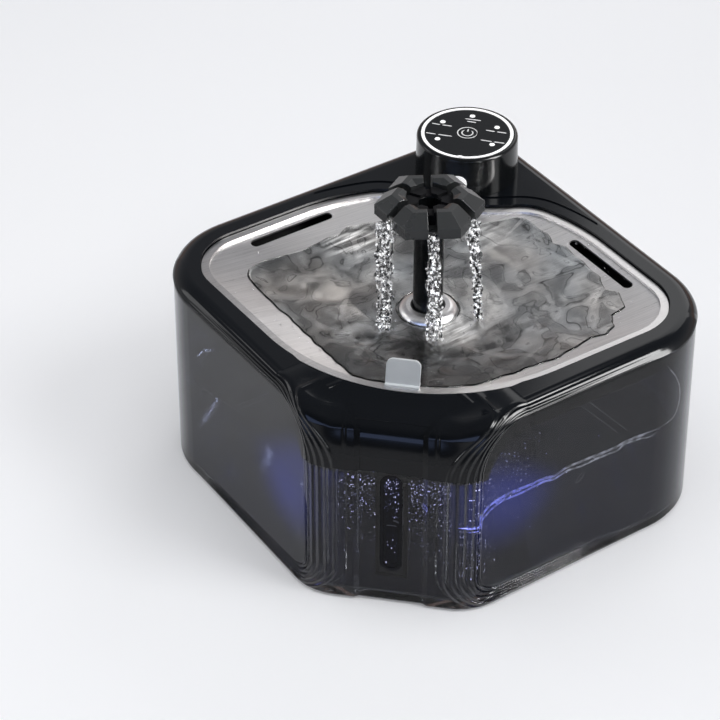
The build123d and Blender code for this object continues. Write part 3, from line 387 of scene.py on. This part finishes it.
def ripples(x, y):
    """Water surface: seven crossing trains of waves 7 to 16 mm long, bent by slower ones, and rings round each landing jet."""
    rng = np.random.default_rng(4)
    bend_x = x + 0.0022 * np.sin(y * 190 + 1.0) + 0.0015 * np.sin(y * 330 - x * 120)
    bend_y = y + 0.0022 * np.sin(x * 170 + 2.0) + 0.0015 * np.sin(x * 310 + y * 140)
    height = np.zeros_like(x)
    for length, heading, start in zip(rng.uniform(0.007, 0.016, 7), rng.uniform(0, np.pi, 7), rng.uniform(0, 6.28, 7)):
        height += length * np.sin(2 * np.pi / length * (bend_x * np.cos(heading) + bend_y * np.sin(heading)) + start)
    height *= 0.0042
    for spot in landing:
        away = np.hypot(x - spot[0], y - spot[1])
        height += 0.00010 * np.exp(-away / 0.009) * np.sin(2 * np.pi * away / 0.0052)
    return height


shore_angle = [1.7, 5.8, 9.6, 17.5, 19.6, 26.1, 35.3, 46.2, 50.5, 55.8, 61.2, 68.8, 76, 79.5, 95, 119.3, 131.9, 135.8, 149.8,
               158.6, 166.5, 172.2, 178, 194.6, 208.2, 224.6, 239.9, 248.9, 257.7, 276.8, 296.8, 303.4, 312.7, 323.8, 336.4,
               345.9, 351.8, 355, 359.9]
shore_share = [.82, .80, .85, .86, .82, .87, .87, .89, .86, .91, .92, .96, .93, .89, .86, .81, .81, .79, .77, .77, .80, .83,
               .81, .81, .81, .83, .90, .98, .97, .965, .96, .94, .91, .90, .92, .89, .86, .90, .85]
round_it = np.linspace(0, 2 * np.pi, 640, endpoint=False)
shore = np.interp(np.degrees(round_it), shore_angle, shore_share, period=360)
shore += 0.004 * np.sin(23 * round_it) + 0.003 * np.sin(41 * round_it + 1)
wall = tray_reach(round_it)
breadth = (shore * wall - collar_reach)[:, None]


def ring_points(radius, height):
    """Points at a distance and a height on each bearing round the tube."""
    x, y = radius * np.cos(round_it)[:, None], radius * np.sin(round_it)[:, None]
    return np.stack([tube_at[0] + x, tube_at[1] + y, height], -1)


out = np.linspace(0, 1, 130)[None, :]
radius = collar_reach + out * breadth
edge_in = (1 - out) * breadth
steel_z = dish_height(radius / wall[:, None])
waves = ripples(*np.moveaxis(ring_points(radius, steel_z), -1, 0)[:2])
top = np.maximum(pool_level, steel_z + 0.00050) + waves * np.clip(edge_in / 0.008, 0.2, 1)
top = np.minimum(top, steel_z + 0.00012 + 0.4 * edge_in)
# Underside: rings are left out where it runs straight, and kept at its bend and by both edges.
ring = np.arange(40)
ring = ring[(ring < 3) | ((ring > 22) & (ring < 33)) | (ring > 36) | (ring % 3 == 2)]
back_in = np.linspace(1, 0, 40)[ring] * breadth + collar_reach
low = dish_height(back_in / wall[:, None]) + 0.00009
skin_points = np.concatenate([ring_points(radius, top), ring_points(back_in, low)], 1)[:, ::-1]
rows, columns = skin_points.shape[:2]
u, v = np.meshgrid(np.arange(rows), np.arange(columns), indexing="ij")
next_u, next_v = (u + 1) % rows, (v + 1) % columns
cells = np.stack([u * columns + v, next_u * columns + v, next_u * columns + next_v, u * columns + next_v], -1)
pool = as_piece("pool_water", skin_points, cells.reshape(-1, 4).tolist())


def clear_water(name, colour, rough, paint=None):
    """Water: clear, with a slight tint that drifts and faint fine ripples. Paint gives sockets that this water has of its own."""
    made, tree = blank(name)
    place = object_place(tree)
    darker, lighter = [c * 0.94 for c in colour], [min(c * 1.04, 1) for c in colour]
    lap = wire(tree, "ShaderNodeBump", {"Height": noise(tree, place, 420.0, 2.0), "Strength": 0.12, "Distance": 0.0004})
    sockets = {"Base_Color": mix(tree, noise(tree, place, 60.0, 2.0), (*darker, 1), (*lighter, 1)), "Roughness": rough,
               "IOR": 1.333, "Transmission_Weight": 1.0, "Normal": lap.outputs["Normal"]}
    principled(tree, **{**sockets, **(paint(tree, place) if paint else {})})
    return made


def near_spot(tree, place, spot, reach, share, ease="SMOOTHSTEP"):
    """A share that fades out with the distance from a spot."""
    away = wire(tree, "ShaderNodeVectorMath", {0: place, 1: spot}, operation="DISTANCE").outputs["Value"]
    return ramp(tree, away, 0.0, reach, share, 0.0, ease)


def pool_paint(tree, place):
    """Painted light and shade: blobs of noise, lighter and darker like caustics, with dark outlines where it crosses
    one of nine levels; painted shade, darker to the front, the back and the left; and painted glare, glowing streaks by
    the landing jets and at the back."""
    # Painted caustic light and shade: lighter and darker blobs with dark outlines, not the water's own colour.
    blobs = noise(tree, place, 62.0, 1.5, Distortion=1.2)
    folded = calc(tree, "PINGPONG", calc(tree, "MULTIPLY", blobs, 9.0), 1.0)
    depth = calc(tree, "MULTIPLY", ramp(tree, blobs, 0.35, 0.68, 0.60, 1.0), ramp(tree, folded, 0.0, 0.16, 0.55, 1.0, "SMOOTHSTEP"))
    axes = wire(tree, "ShaderNodeSeparateXYZ", {"Vector": place}).outputs
    # Painted shade: darker to the front, the back and the left, and lighter to the right.
    front_shade = ramp(tree, axes["Y"], -0.080, -0.022, 0.46, 1.0, "SMOOTHSTEP")
    right_light = ramp(tree, axes["X"], -0.050, 0.040, 0.86, 1.16)
    back_shade = ramp(tree, axes["Y"], 0.025, 0.070, 1.0, 0.62, "SMOOTHSTEP")
    shade = calc(tree, "MULTIPLY", depth, calc(tree, "MULTIPLY", front_shade, right_light, back_shade), use_clamp=True)
    cast = mix(tree, noise(tree, place, 30.0, 1.0), (0.90, 0.96, 1.0, 1), (1.0, 0.95, 0.90, 1))
    # Painted glare: glowing streaks by the landing jets and at the back.
    glare_streaks = noise(tree, drawn_out(tree, place, -47, (45.0, 430.0, 60.0)), 1.0, 3.0, Distortion=0.4)
    bright = calc(tree, "ADD", near_spot(tree, place, (-0.045, 0.021, pool_level), 0.019, 0.55),
                  near_spot(tree, place, (0.015, -0.038, pool_level), 0.016, 0.50),
                  near_spot(tree, place, (0.012, 0.040, pool_level), 0.022, 0.22))
    return {"Base_Color": scaled(tree, cast, shade), "Emission_Strength": 1.0,
            "Emission_Color": calc(tree, "MULTIPLY", ramp(tree, glare_streaks, 0.46, 0.70, 0.0, 1.0), bright)}


pool.data.materials.append(clear_water("drinking_water", (0.62, 0.61, 0.60), 0.09, pool_paint))
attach(pool, "tray")


# Jets: three of the nozzle's six slots pour towards the front. Each is a few
# strands that waver and bead as they fall, with loose drops between them.
def bundle(name, rings):
    """Closed swept shapes in one mesh: rings[k, i, j] is point j round ring i of shape k.
    Neighbouring rings are joined by four-sided faces and the two end rings are filled."""
    count, rows, around = rings.shape[:3]
    i, j = np.meshgrid(np.arange(rows - 1), np.arange(around), indexing="ij")
    k = (j + 1) % around
    cell = np.stack([i * around + j, i * around + k, (i + 1) * around + k, (i + 1) * around + j], -1).reshape(1, -1, 4)
    shift = np.arange(count)[:, None, None] * rows * around
    first = np.arange(around)[::-1] + shift[:, 0]
    last = np.arange(around) + (rows - 1) * around + shift[:, 0]
    return as_piece(name, rings, (cell + shift).reshape(-1, 4).tolist() + first.tolist() + last.tolist())


def fall_line(head, foot, drop):
    """Places on a jet: the path leaves the slot and bends down, so its sideways share is the drop to the power 0.6."""
    return head + (foot - head) * np.concatenate([drop ** 0.6, drop ** 0.6, drop], 1)


def strand_rings(foot, head, across, offset, phase, spread):
    """A falling strand that wavers. Its radius of 0.42 mm swells and shrinks with three sine waves."""
    drop = np.linspace(1, 0, 72)[:, None]
    gap = offset * (1 + spread * drop) + 0.0004 * np.sin(9 * drop + phase) * drop + 0.00022 * np.sin(31 * drop + 2 * phase)
    line = fall_line(head, foot, drop) + gap * across
    swell = 0.72 + 0.22 * np.sin(29 * drop + phase) + 0.26 * np.sin(67 * drop + 3 * phase) + 0.16 * np.sin(113 * drop + phase)
    swell[0], swell[-1] = 0.3, 0.3
    a = np.linspace(0, 2 * np.pi, 10, endpoint=False)[None, :, None]
    depth = np.cross([0, 0, 1], across)
    return line[:, None] + (0.00042 * swell)[:, None] * (np.cos(a) * across + 0.6 * np.sin(a) * depth)


def drop_rings(centre, size, long):
    """Drops: five rings of six points on a ball, drawn out upwards by the given factor."""
    lift = np.radians([-78, -42, 0, 42, 78])[None, :, None]
    a = np.radians(np.arange(0, 360, 60))[None, None, :]
    ball = np.stack([np.cos(lift) * np.cos(a), np.cos(lift) * np.sin(a), np.sin(lift) + 0 * a], -1)
    size, long = np.asarray(size)[:, None, None, None], np.asarray(long)[:, None, None, None]
    ball = ball * size * np.concatenate([np.ones_like(long), np.ones_like(long), long], -1)
    return np.asarray(centre)[:, None, None, :] + ball


drop_tint = (0.97, 0.98, 1.0)


def jet_paint(tree, place):
    """Painted shade and glints: noise that darkens parts of the water and makes others glow, as tumbling drops look."""
    glint_and_shade = noise(tree, place, 620.0, 1.0)
    return {"Base_Color": scaled(tree, drop_tint, ramp(tree, glint_and_shade, 0.42, 0.58, 0.16, 0.95)),
            "Emission_Color": ramp(tree, glint_and_shade, 0.50, 0.70, 0.0, 0.40), "Emission_Strength": 1.0}


jet_water = clear_water("falling_water", drop_tint, 0.02, jet_paint)
slot_reach, slot_z, landing_z = 0.0212, 0.1545, 0.0988
across_view = np.array([np.cos(turn), np.sin(turn), 0.0])
into_view = np.array([-across_view[1], across_view[0], 0])
# Name, slot's bearing, where it lands, shift, width at the slot and at the foot in millimetres, strands and drops.
jets = (("jet_left", 224.0, landing[0], -2.4, 4.2, 3.0, 5, 620),
        ("jet_front", 284.0, landing[1], 0.0, 2.4, 3.9, 4, 520),
        ("jet_right", 344.0, landing[2], -0.8, 3.3, 1.3, 5, 620))
for number, (name, bearing, spot, shift, wide_top, wide_foot, strands, drops) in enumerate(jets):
    rng = np.random.default_rng(20 + number)
    bearing = np.radians(bearing)
    slot = tube_at + slot_reach * np.array([np.cos(bearing), np.sin(bearing)])
    head = np.array([*slot, slot_z]) + shift / 1000 * across_view
    foot = np.array([*spot, landing_z])
    offsets = np.linspace(-0.8, 0.8, strands) * wide_top / 1000
    rings = [strand_rings(foot, head, across_view, offset, 1.7 * n + number, wide_foot / wide_top - 1)
             for n, offset in enumerate(offsets)]
    jet = bundle(name, np.stack(rings))
    jet.data.materials.append(jet_water)
    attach(jet, "nozzle")
    fall = rng.uniform(0.01, 1, drops)[:, None]
    wide = (wide_top + (wide_foot - wide_top) * fall) / 1000
    aside = np.clip(rng.normal(0.12 * np.sin(11 * fall + number), 0.46, (drops, 1)), -1, 1)
    deep = rng.uniform(-1, 1, (drops, 1)) * 0.5 * np.sqrt(1 - aside ** 2)
    centre = fall_line(head, foot, fall) + wide * aside * across_view + wide * deep * into_view
    centre = centre + rng.normal(0, 0.0003, (drops, 3))
    size = 0.00022 + 0.00045 * rng.random(drops) ** 1.5
    loose = bundle(name + "_drops", drop_rings(centre, size, rng.uniform(0.9, 3.0, drops)))
    loose.data.materials.append(jet_water)
    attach(loose, "nozzle")

# Splashes: small drops that jump where the jets land, and beads that lie on
# the dry rim of the tray.
rng = np.random.default_rng(7)
centre, size = [], []
for spot in landing:
    away, heading, hop = rng.gamma(2.0, 0.0022, 34), rng.uniform(0, 6.28, 34), rng.exponential(0.0022, 34)
    centre.append(np.stack([spot[0] + away * np.cos(heading), spot[1] + away * np.sin(heading),
                            0.0998 + np.minimum(hop, 0.010)], -1))
    size.append(rng.uniform(0.0002, 0.0006, 34))
splash = bundle("splash_drops", drop_rings(np.concatenate(centre), np.concatenate(size), rng.uniform(0.9, 1.5, 102)))
bead_water = clear_water("bead_water", drop_tint, 0.02)
splash.data.materials.append(bead_water)
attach(splash, "tray")
bearing = rng.uniform(0, 2 * np.pi, 150)
share = np.interp(np.degrees(bearing), shore_angle, shore_share, period=360) + rng.exponential(0.05, 150) + 0.02
share = np.clip(share, 0, 0.985)
radius = share * tray_reach(bearing)
size = rng.uniform(0.0002, 0.0006, 150)
centre = np.stack([radius * np.cos(bearing), tube_at[1] + radius * np.sin(bearing), dish_height(share) + 0.25 * size + 0.00005], -1)
beads = bundle("tray_beads", drop_rings(centre, size, np.full(150, 0.55)))
beads.data.materials.append(bead_water)
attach(beads, "tray")


# Tank water: fills the tank to a little over half. Its blue glow from the lamps in its floor is painted: emission in
# the water itself, in two soft balls by the front walls. It keeps 1.2 mm off the walls.
def tank_outline(half, front):
    """Plan of the tank's inside: a square on its corner with round corners and the front one cut off flat."""
    side, back, nose = 0.0389, 0.0274, 0.0234
    side_at, back_at, nose_at = (np.sqrt(2) * (half - r) for r in (side, back, nose))
    a = np.radians(np.linspace(0, 45, 24))
    turns = ((-45, 2, side, side_at, 0.0), (45, 2, back, 0.0, back_at), (135, 2, side, -side_at, 0.0),
             (225, 1, nose, front - nose - nose_at, nose - front), (270, 1, nose, nose_at - front + nose, nose - front))
    arcs = []
    for start, quarters, radius, x, y in turns:
        angle = np.radians(start) + quarters * a
        arcs.append(np.stack([x + radius * np.cos(angle), y + radius * np.sin(angle)], -1))
    return np.concatenate(arcs) + [0, body_y]


plan = tank_outline(0.0940, 0.0991)
middle = plan.mean(0)
steps = [(0.93, 0.0034), (0.985, 0.0036), (1.0, 0.0050), (1.0, 0.0568), (0.992, 0.0571), (0.975, 0.0569), (0.93, 0.0569)]
rings = np.stack([np.column_stack([middle + (plan - middle) * s, np.full(len(plan), z)]) for s, z in steps])
held = bundle("tank_water", rings[None])


def held_paint(tree, place):
    """Painted blue glow: emission in two soft balls by the front walls, over a faint painted glow everywhere."""
    # Painted light: the water glows here, standing in for the lamps' light.
    lit = calc(tree, "ADD", near_spot(tree, place, (-0.0516, -0.0971, 0.0469), 0.036, 1.0, "SMOOTHERSTEP"),
               near_spot(tree, place, (0.0504, -0.0983, 0.0554), 0.038, 1.0, "SMOOTHERSTEP"))
    return {"Emission_Color": mix(tree, lit, (0.004, 0.004, 0.010, 1), (0.08, 0.12, 0.80, 1)), "Emission_Strength": 1.3}


held.data.materials.append(clear_water("held_water", (0.42, 0.44, 0.52), 0.02, held_paint))
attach(held, "base")


# Water line: where the water's skin climbs the wall it draws bright threads, blue over the lamps and grey beyond;
# bubbles and eddies lower down draw fainter ones. All are painted highlights: thin ribbons that glow.
def ribbon(path, face, half_wide, half_thick, around=6):
    """Flat thread carried along a path: an ellipse, wide across the path in the wall's plane and thin along its normal,
    tapered at both ends."""
    path = np.asarray(path, float)
    run = np.gradient(path, axis=0)
    run /= np.linalg.norm(run, axis=1)[:, None]
    side = np.cross(face, run)
    a = np.linspace(0, 2 * np.pi, around, endpoint=False)[None, :, None]
    t = np.linspace(0, 1, len(path))[:, None, None]
    taper = np.clip(8 * np.minimum(t, 1 - t) + 0.15, 0, 1)
    return path[:, None] + taper * (half_wide * np.cos(a) * side[:, None] + half_thick * np.sin(a) * np.asarray(face, float))


def thread(points, count=64, ease=3):
    """Evenly spaced points along a broken line, each eased towards the mean of its neighbours."""
    points = np.asarray(points, float)
    run = np.append(0, np.cumsum(np.linalg.norm(np.diff(points, axis=0), axis=1)))
    even = np.linspace(0, run[-1], count)
    line = np.column_stack([np.interp(even, run, c) for c in points.T])
    for _ in range(ease):
        line[1:-1] = (line[:-2] + 2 * line[1:-1] + line[2:]) / 4
    return line


wall_off = 0.0944


def on_right(points):
    """Points (along, up) in millimetres on the inside of the right wall."""
    along, high = np.asarray(points, float).T / 1000
    return np.column_stack([(along + wall_off) / np.sqrt(2), (along - wall_off) / np.sqrt(2) + body_y, high])


def on_left(points):
    """Points (along, up) in millimetres on the inside of the left wall."""
    along, high = np.asarray(points, float).T / 1000
    return np.column_stack([(-wall_off - along) / np.sqrt(2), (along - wall_off) / np.sqrt(2) + body_y, high])


right_face, left_face = np.array([1, -1, 0]) / np.sqrt(2), np.array([-1, -1, 0]) / np.sqrt(2)
upper_line = [(-52, 49.2), (-45.5, 46.7), (-41.1, 45.2), (-40.7, 51.3), (-36.5, 55.1), (-31.1, 56.6), (-26.8, 57.4),
              (-18.6, 57.1), (-13.1, 56.8), (-4.9, 57), (-0.9, 55.5), (5.1, 57.6), (11.8, 57.4), (20.2, 57.1), (25.9, 56.8),
              (32.7, 56.6), (40, 57.4), (46.2, 57.4), (54.3, 56.7), (57.2, 56.6)]
lower_line = [(-45.4, 44.4), (-41, 43.4), (-40.1, 48.8), (-34.8, 52.6), (-29.4, 54.6), (-22.9, 54.5), (-16.3, 54.3),
              (-11.4, 54.9), (-5.9, 55.2), (-0.3, 53.8), (6.9, 55.7), (14.8, 54.4), (21.5, 54.8), (29.4, 54.6), (35.6, 54.1),
              (38.3, 56.4), (48.7, 55.2), (53.4, 53.7), (57.3, 54.8)]
back_loop = [(57.2, 56.6), (61.7, 57.5), (66.8, 58.7), (69.4, 62.7), (70.6, 69.1), (69.5, 75.8), (66.1, 83), (62.2, 88.6),
             (59.6, 93.1)]
eddies = [[(-27.7, 3.4), (-25, 6.9), (-22.3, 8.6), (-23.9, 6.4)],
          [(-12, 2.9), (-5.3, 3.8), (-2.5, 6.1), (-0.9, 8.3), (-0.2, 5.6)],
          [(11.6, 7.1), (14.4, 8.7), (17.3, 8.5)], [(21.9, 6.9), (27.6, 8.4)],
          [(52.8, 4.9), (54.9, 8.1), (57.8, 8.5), (60.3, 6.8)]]
streaks = [[(8.2, 94), (18.8, 82.7), (27.7, 72.5), (36.8, 62.2)], [(14.3, 93), (24.4, 81.4), (33.4, 71.2), (41.4, 61.9)]]
left_curves = [[(45.9, 92.3), (62.7, 68.2), (62.1, 62.8), (61.2, 57), (48.2, 54.2), (22.7, 60.2), (3.9, 64)],
               [(19.2, 62.5), (-15.2, 93.2)], [(16.7, 61.8), (-7.6, 83.8)], [(7.8, 72.7), (-11.9, 90.5)]]
angle = np.linspace(0, 2 * np.pi, 24)
bubble = np.column_stack([14.3 + 2.1 * np.cos(angle) - 0.84 * np.sin(angle), 48 + 2.1 * np.cos(angle) + 0.84 * np.sin(angle)])
rng = np.random.default_rng(11)
threads = [ribbon(thread(on_right(line), 120, 2), right_face, wide, 0.00014)
           for line, wide in ((upper_line, 0.00075), (lower_line, 0.00062))]
for _ in range(7):
    start = rng.uniform(-36, 46)
    run_on = np.linspace(start, start + rng.uniform(5, 11), 6)
    wander = [(u, np.interp(u, *np.transpose(upper_line)) - 0.6 + rng.normal(0, 0.9)) for u in run_on]
    threads.append(ribbon(thread(on_right(wander), 120), right_face, 0.00032, 0.0001))
water_line = bundle("water_line_right", np.stack(threads))
faint = [(back_loop, 0.00035), (bubble, 0.0003)] + [(p, 0.00022) for p in eddies] + [(p, 0.00016) for p in streaks]
faint = [ribbon(thread(on_right(p), 48), right_face, wide, 0.0001) for p, wide in faint]
eddy_line = bundle("eddy_lines_right", np.stack(faint))
faint = [ribbon(thread(on_left(p), 48), left_face, 0.00016, 0.0001) for p in left_curves]
left_line = bundle("eddy_lines_left", np.stack(faint))


def painted_glow_thread(name, blue, grey, strength):
    """Painted highlight on the water skin: it glows, blue over the lamps, fading to grey along the wall, broken up by
    noise.
    """
    made, tree = blank(name)
    place = object_place(tree)
    along = wire(tree, "ShaderNodeVectorMath", {0: place, 1: (0.7071, 0.7071, 0.0)}, operation="DOT_PRODUCT").outputs["Value"]
    colour = mix(tree, ramp(tree, along, -0.018, 0.0, 0.0, 1.0), (*blue, 1), (*grey, 1))
    broken = scaled(tree, colour, ramp(tree, noise(tree, place, 380.0, 3.0), 0.36, 0.62, 0.12, 1.0))
    principled(tree, Base_Color=(0.1, 0.1, 0.12, 1), Roughness=0.2, Emission_Color=broken, Emission_Strength=strength)
    return made


# Painted highlights: the water line, the eddies and the bubble glow with emission.
for piece, paint in ((water_line, painted_glow_thread("water_line_light", (0.27, 0.30, 1.0), (0.36, 0.36, 0.38), 6.5)),
                     (eddy_line, painted_glow_thread("eddy_light", (0.3, 0.32, 0.5), (0.26, 0.26, 0.27), 2.2)),
                     (left_line, painted_glow_thread("left_eddy_light", (0.3, 0.3, 0.36), (0.3, 0.3, 0.33), 0.9))):
    piece.data.materials.append(paint)
    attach(piece, "base")


# Spray: fine drops thrown on the inside of the front and right walls above the water, and drips between the upright
# ribs. Their catching of the blue light is painted: the drops glow.
# None lies in front of the float, which needs its way up free.
def spray(name, along, high, place_of, seed):
    """Tiny drops strewn over a wall at (along, up), each a few facets, most of them near 0.09 mm and the largest 0.25."""
    rng = np.random.default_rng(seed)
    size = 0.00009 + 0.00016 * rng.random(len(along)) ** 3
    return bundle(name, drop_rings(place_of(np.column_stack([along, high])), size, np.ones(len(along))))


def on_front(points):
    """Points (across, up) in millimetres on the inside of the front wall."""
    across, high = np.asarray(points, float).T / 1000
    return np.column_stack([across, np.full_like(high, -0.0998 + body_y), high])


def painted_glint_specks(name, base, scale, deep, pale, strength):
    """Painted glints on water specks: they glow, and the glow's colour changes from drop to drop with noise."""
    made, tree = blank(name)
    light = mix(tree, noise(tree, object_place(tree), scale, 1.0), (*deep, 1), (*pale, 1))
    principled(tree, Base_Color=(*base, 1), Roughness=0.1, Emission_Color=light, Emission_Strength=strength)
    return made


spark = painted_glint_specks("spray_light", (0.5, 0.5, 0.5), 300.0, (0.35, 0.38, 1.0), (1.0, 0.98, 1.0), 10.0)
rng = np.random.default_rng(31)
across = np.append(rng.uniform(-25, -7.5, 210), rng.uniform(7.5, 27, 330))
high = 74 - rng.gamma(1.8, 9.0, 540)
front_spray = spray("spray_front", across, np.clip(high, 26, 74), on_front, 32)
right_spray = spray("spray_right", -46 + rng.gamma(1.6, 9, 240), 92 - rng.gamma(2.2, 11, 240).clip(0, 70), on_right, 33)
groove = np.radians(rng.choice([-48.0, -54.0, -60.0, -66.0, -73.0], 90) + rng.normal(0, 0.5, 90))
corner = np.array([np.sqrt(2) * 0.0708 - 0.0759, -0.0759 + body_y])
drip_at = corner + 0.0240 * np.column_stack([np.cos(groove), np.sin(groove)])
drip_at = np.column_stack([drip_at, rng.uniform(0.014, 0.052, 90)])
drips = bundle("rib_drips", drop_rings(drip_at, rng.uniform(0.00004, 0.00010, 90), rng.uniform(2, 6, 90)))
for piece in (front_spray, right_spray, drips):
    piece.data.materials.append(spark)
    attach(piece, "base")

# Gauge: a clear window let into the front wall with a pale float behind it.
# Drops show in it above the float, their glints painted as glow, a black water line with a painted glowing glint, and
# the darker water below.
dress(finish("window_plastic", (0.010, 0.011, 0.018), 0.06, edge=0.0003, Transmission_Weight=0.6, IOR=1.22), "gauge_lens")
dress(finish("float_foam", (0.75, 0.80, 0.95), 0.5), "level_float")
rng = np.random.default_rng(41)
window_y = -0.1021 + body_y
across = np.concatenate([rng.uniform(-3.3, 3.3, 170), rng.uniform(-2.6, 2.6, 18)]) / 1000
high = np.concatenate([71.5 - np.minimum(rng.gamma(1.5, 6.0, 170), 22), rng.uniform(23, 40, 18)]) / 1000
drop_at = np.column_stack([across, np.full(188, window_y), high])
# Painted glints: the drops in the window glow.
glints = bundle("gauge_glints", drop_rings(drop_at, 0.0001 + 0.00022 * rng.random(188) ** 2, rng.uniform(0.8, 2.4, 188)))
glints.data.materials.append(painted_glint_specks("glint_light", (0.3, 0.3, 0.4), 500.0, (0.16, 0.18, 0.75), (0.8, 0.8, 1.0), 1.1))
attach(glints, "base")
front_face = np.array([0.0, -1.0, 0.0])
mark = np.linspace(-1, 1, 30)


def in_window(x, z, behind=0.0):
    """Points of a line in the window's plane, or a little behind it."""
    return np.column_stack([x, np.full(30, window_y + behind), z])


cell_run = in_window(0 * mark, 0.0340 + 0.0118 * mark, 0.0001)
cell = bundle("gauge_lower_cell", ribbon(cell_run, front_face, 0.0032, 0.0001, 12)[None])
cell.data.materials.append(finish("cell_slate", (0.030, 0.033, 0.045), 0.2))
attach(cell, "base")
black_arc = in_window(0.0036 * mark, 0.0484 - 0.0006 * mark ** 2)
gauge_line = bundle("gauge_water_line", ribbon(black_arc, front_face, 0.0009, 0.0001)[None])
gauge_line.data.materials.append(finish("line_black", (0.004, 0.004, 0.005), 0.15))
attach(gauge_line, "base")
# Painted highlights: the glint on the water line and a paler arc under it glow.
white_arc = in_window(0.0021 + 0.0013 * mark, 0.0476 - 0.0004 * (mark + 0.6) ** 2, -0.0001)
pale_arc = in_window(0.0002 + 0.0024 * mark, 0.0447 - 0.0003 * mark ** 2)
arcs = [ribbon(arc, front_face, wide, 0.0001) for arc, wide in ((white_arc, 0.0005), (pale_arc, 0.0003))]
gauge_glint = bundle("gauge_line_glint", np.stack(arcs))
gauge_glint.data.materials.append(finish("glint_white", (0.8, 0.8, 0.82), 0.2, Emission_Strength=0.35, Emission_Color=(1, 1, 1, 1)))
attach(gauge_glint, "base")

# Printed marks on the puck: plain dashes beside its lights, and the power sign
# on its button. Thin ink, 0.04 mm proud of the disc.
puck_at = np.array([0.0, 0.093 + body_y])
puck_top, ink_thick, sign_lift = 0.12602, 0.00004, [0, 0, 0.0001]
flat_face = np.array([0.0, 0.0, 1.0])


def on_puck(points):
    """Points (x, y) in millimetres from the puck's middle, on its top."""
    x, y = np.asarray(points, float).T / 1000
    return np.column_stack([puck_at[0] + x, puck_at[1] + y, np.full_like(x, puck_top)])


dashes = [[(-18, 5.2), (-13.9, 4.7)], [(-13.0, 4.7), (-8.1, 4.4)], [(-19.4, -3.4), (-14.5, -3.9)], [(-13.5, -3.9), (-6.6, -4.3)],
          [(-3.2, 12.1), (4.8, 11.8)], [(-1.9, 10.1), (2.7, 9.7)], [(8.2, 4.1), (12.7, 3.6)], [(13.6, 3.6), (18.3, 3.3)],
          [(7, -4.7), (12.7, -5.3)], [(13.5, -5.3), (18.7, -5.5)]]
prints = bundle("puck_dashes", np.stack([ribbon(on_puck(thread(d, 12, 0)), flat_face, 0.00042, ink_thick) for d in dashes]))
sweep, whole = np.radians(np.linspace(-235, 55, 48)), np.linspace(0, 2 * np.pi, 48)
arc = np.column_stack([2.6 * np.cos(sweep), 2.6 * np.sin(sweep)])
stroke = np.column_stack([np.zeros(48), np.linspace(0.9, 3.3, 48)])
rim_line = np.column_stack([4.65 * np.cos(whole), 4.65 * np.sin(whole)])
lines = [ribbon(on_puck(p) + sign_lift, flat_face, wide, ink_thick)
         for p, wide in ((arc, 0.00034), (stroke, 0.00034), (rim_line, 0.00030))]
sign = bundle("power_sign", np.stack(lines))
ink = finish("pale_ink", (0.85, 0.85, 0.85), 0.4)
for piece, body in ((prints, "puck"), (sign, "button")):
    piece.data.materials.append(ink)
    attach(piece, body)
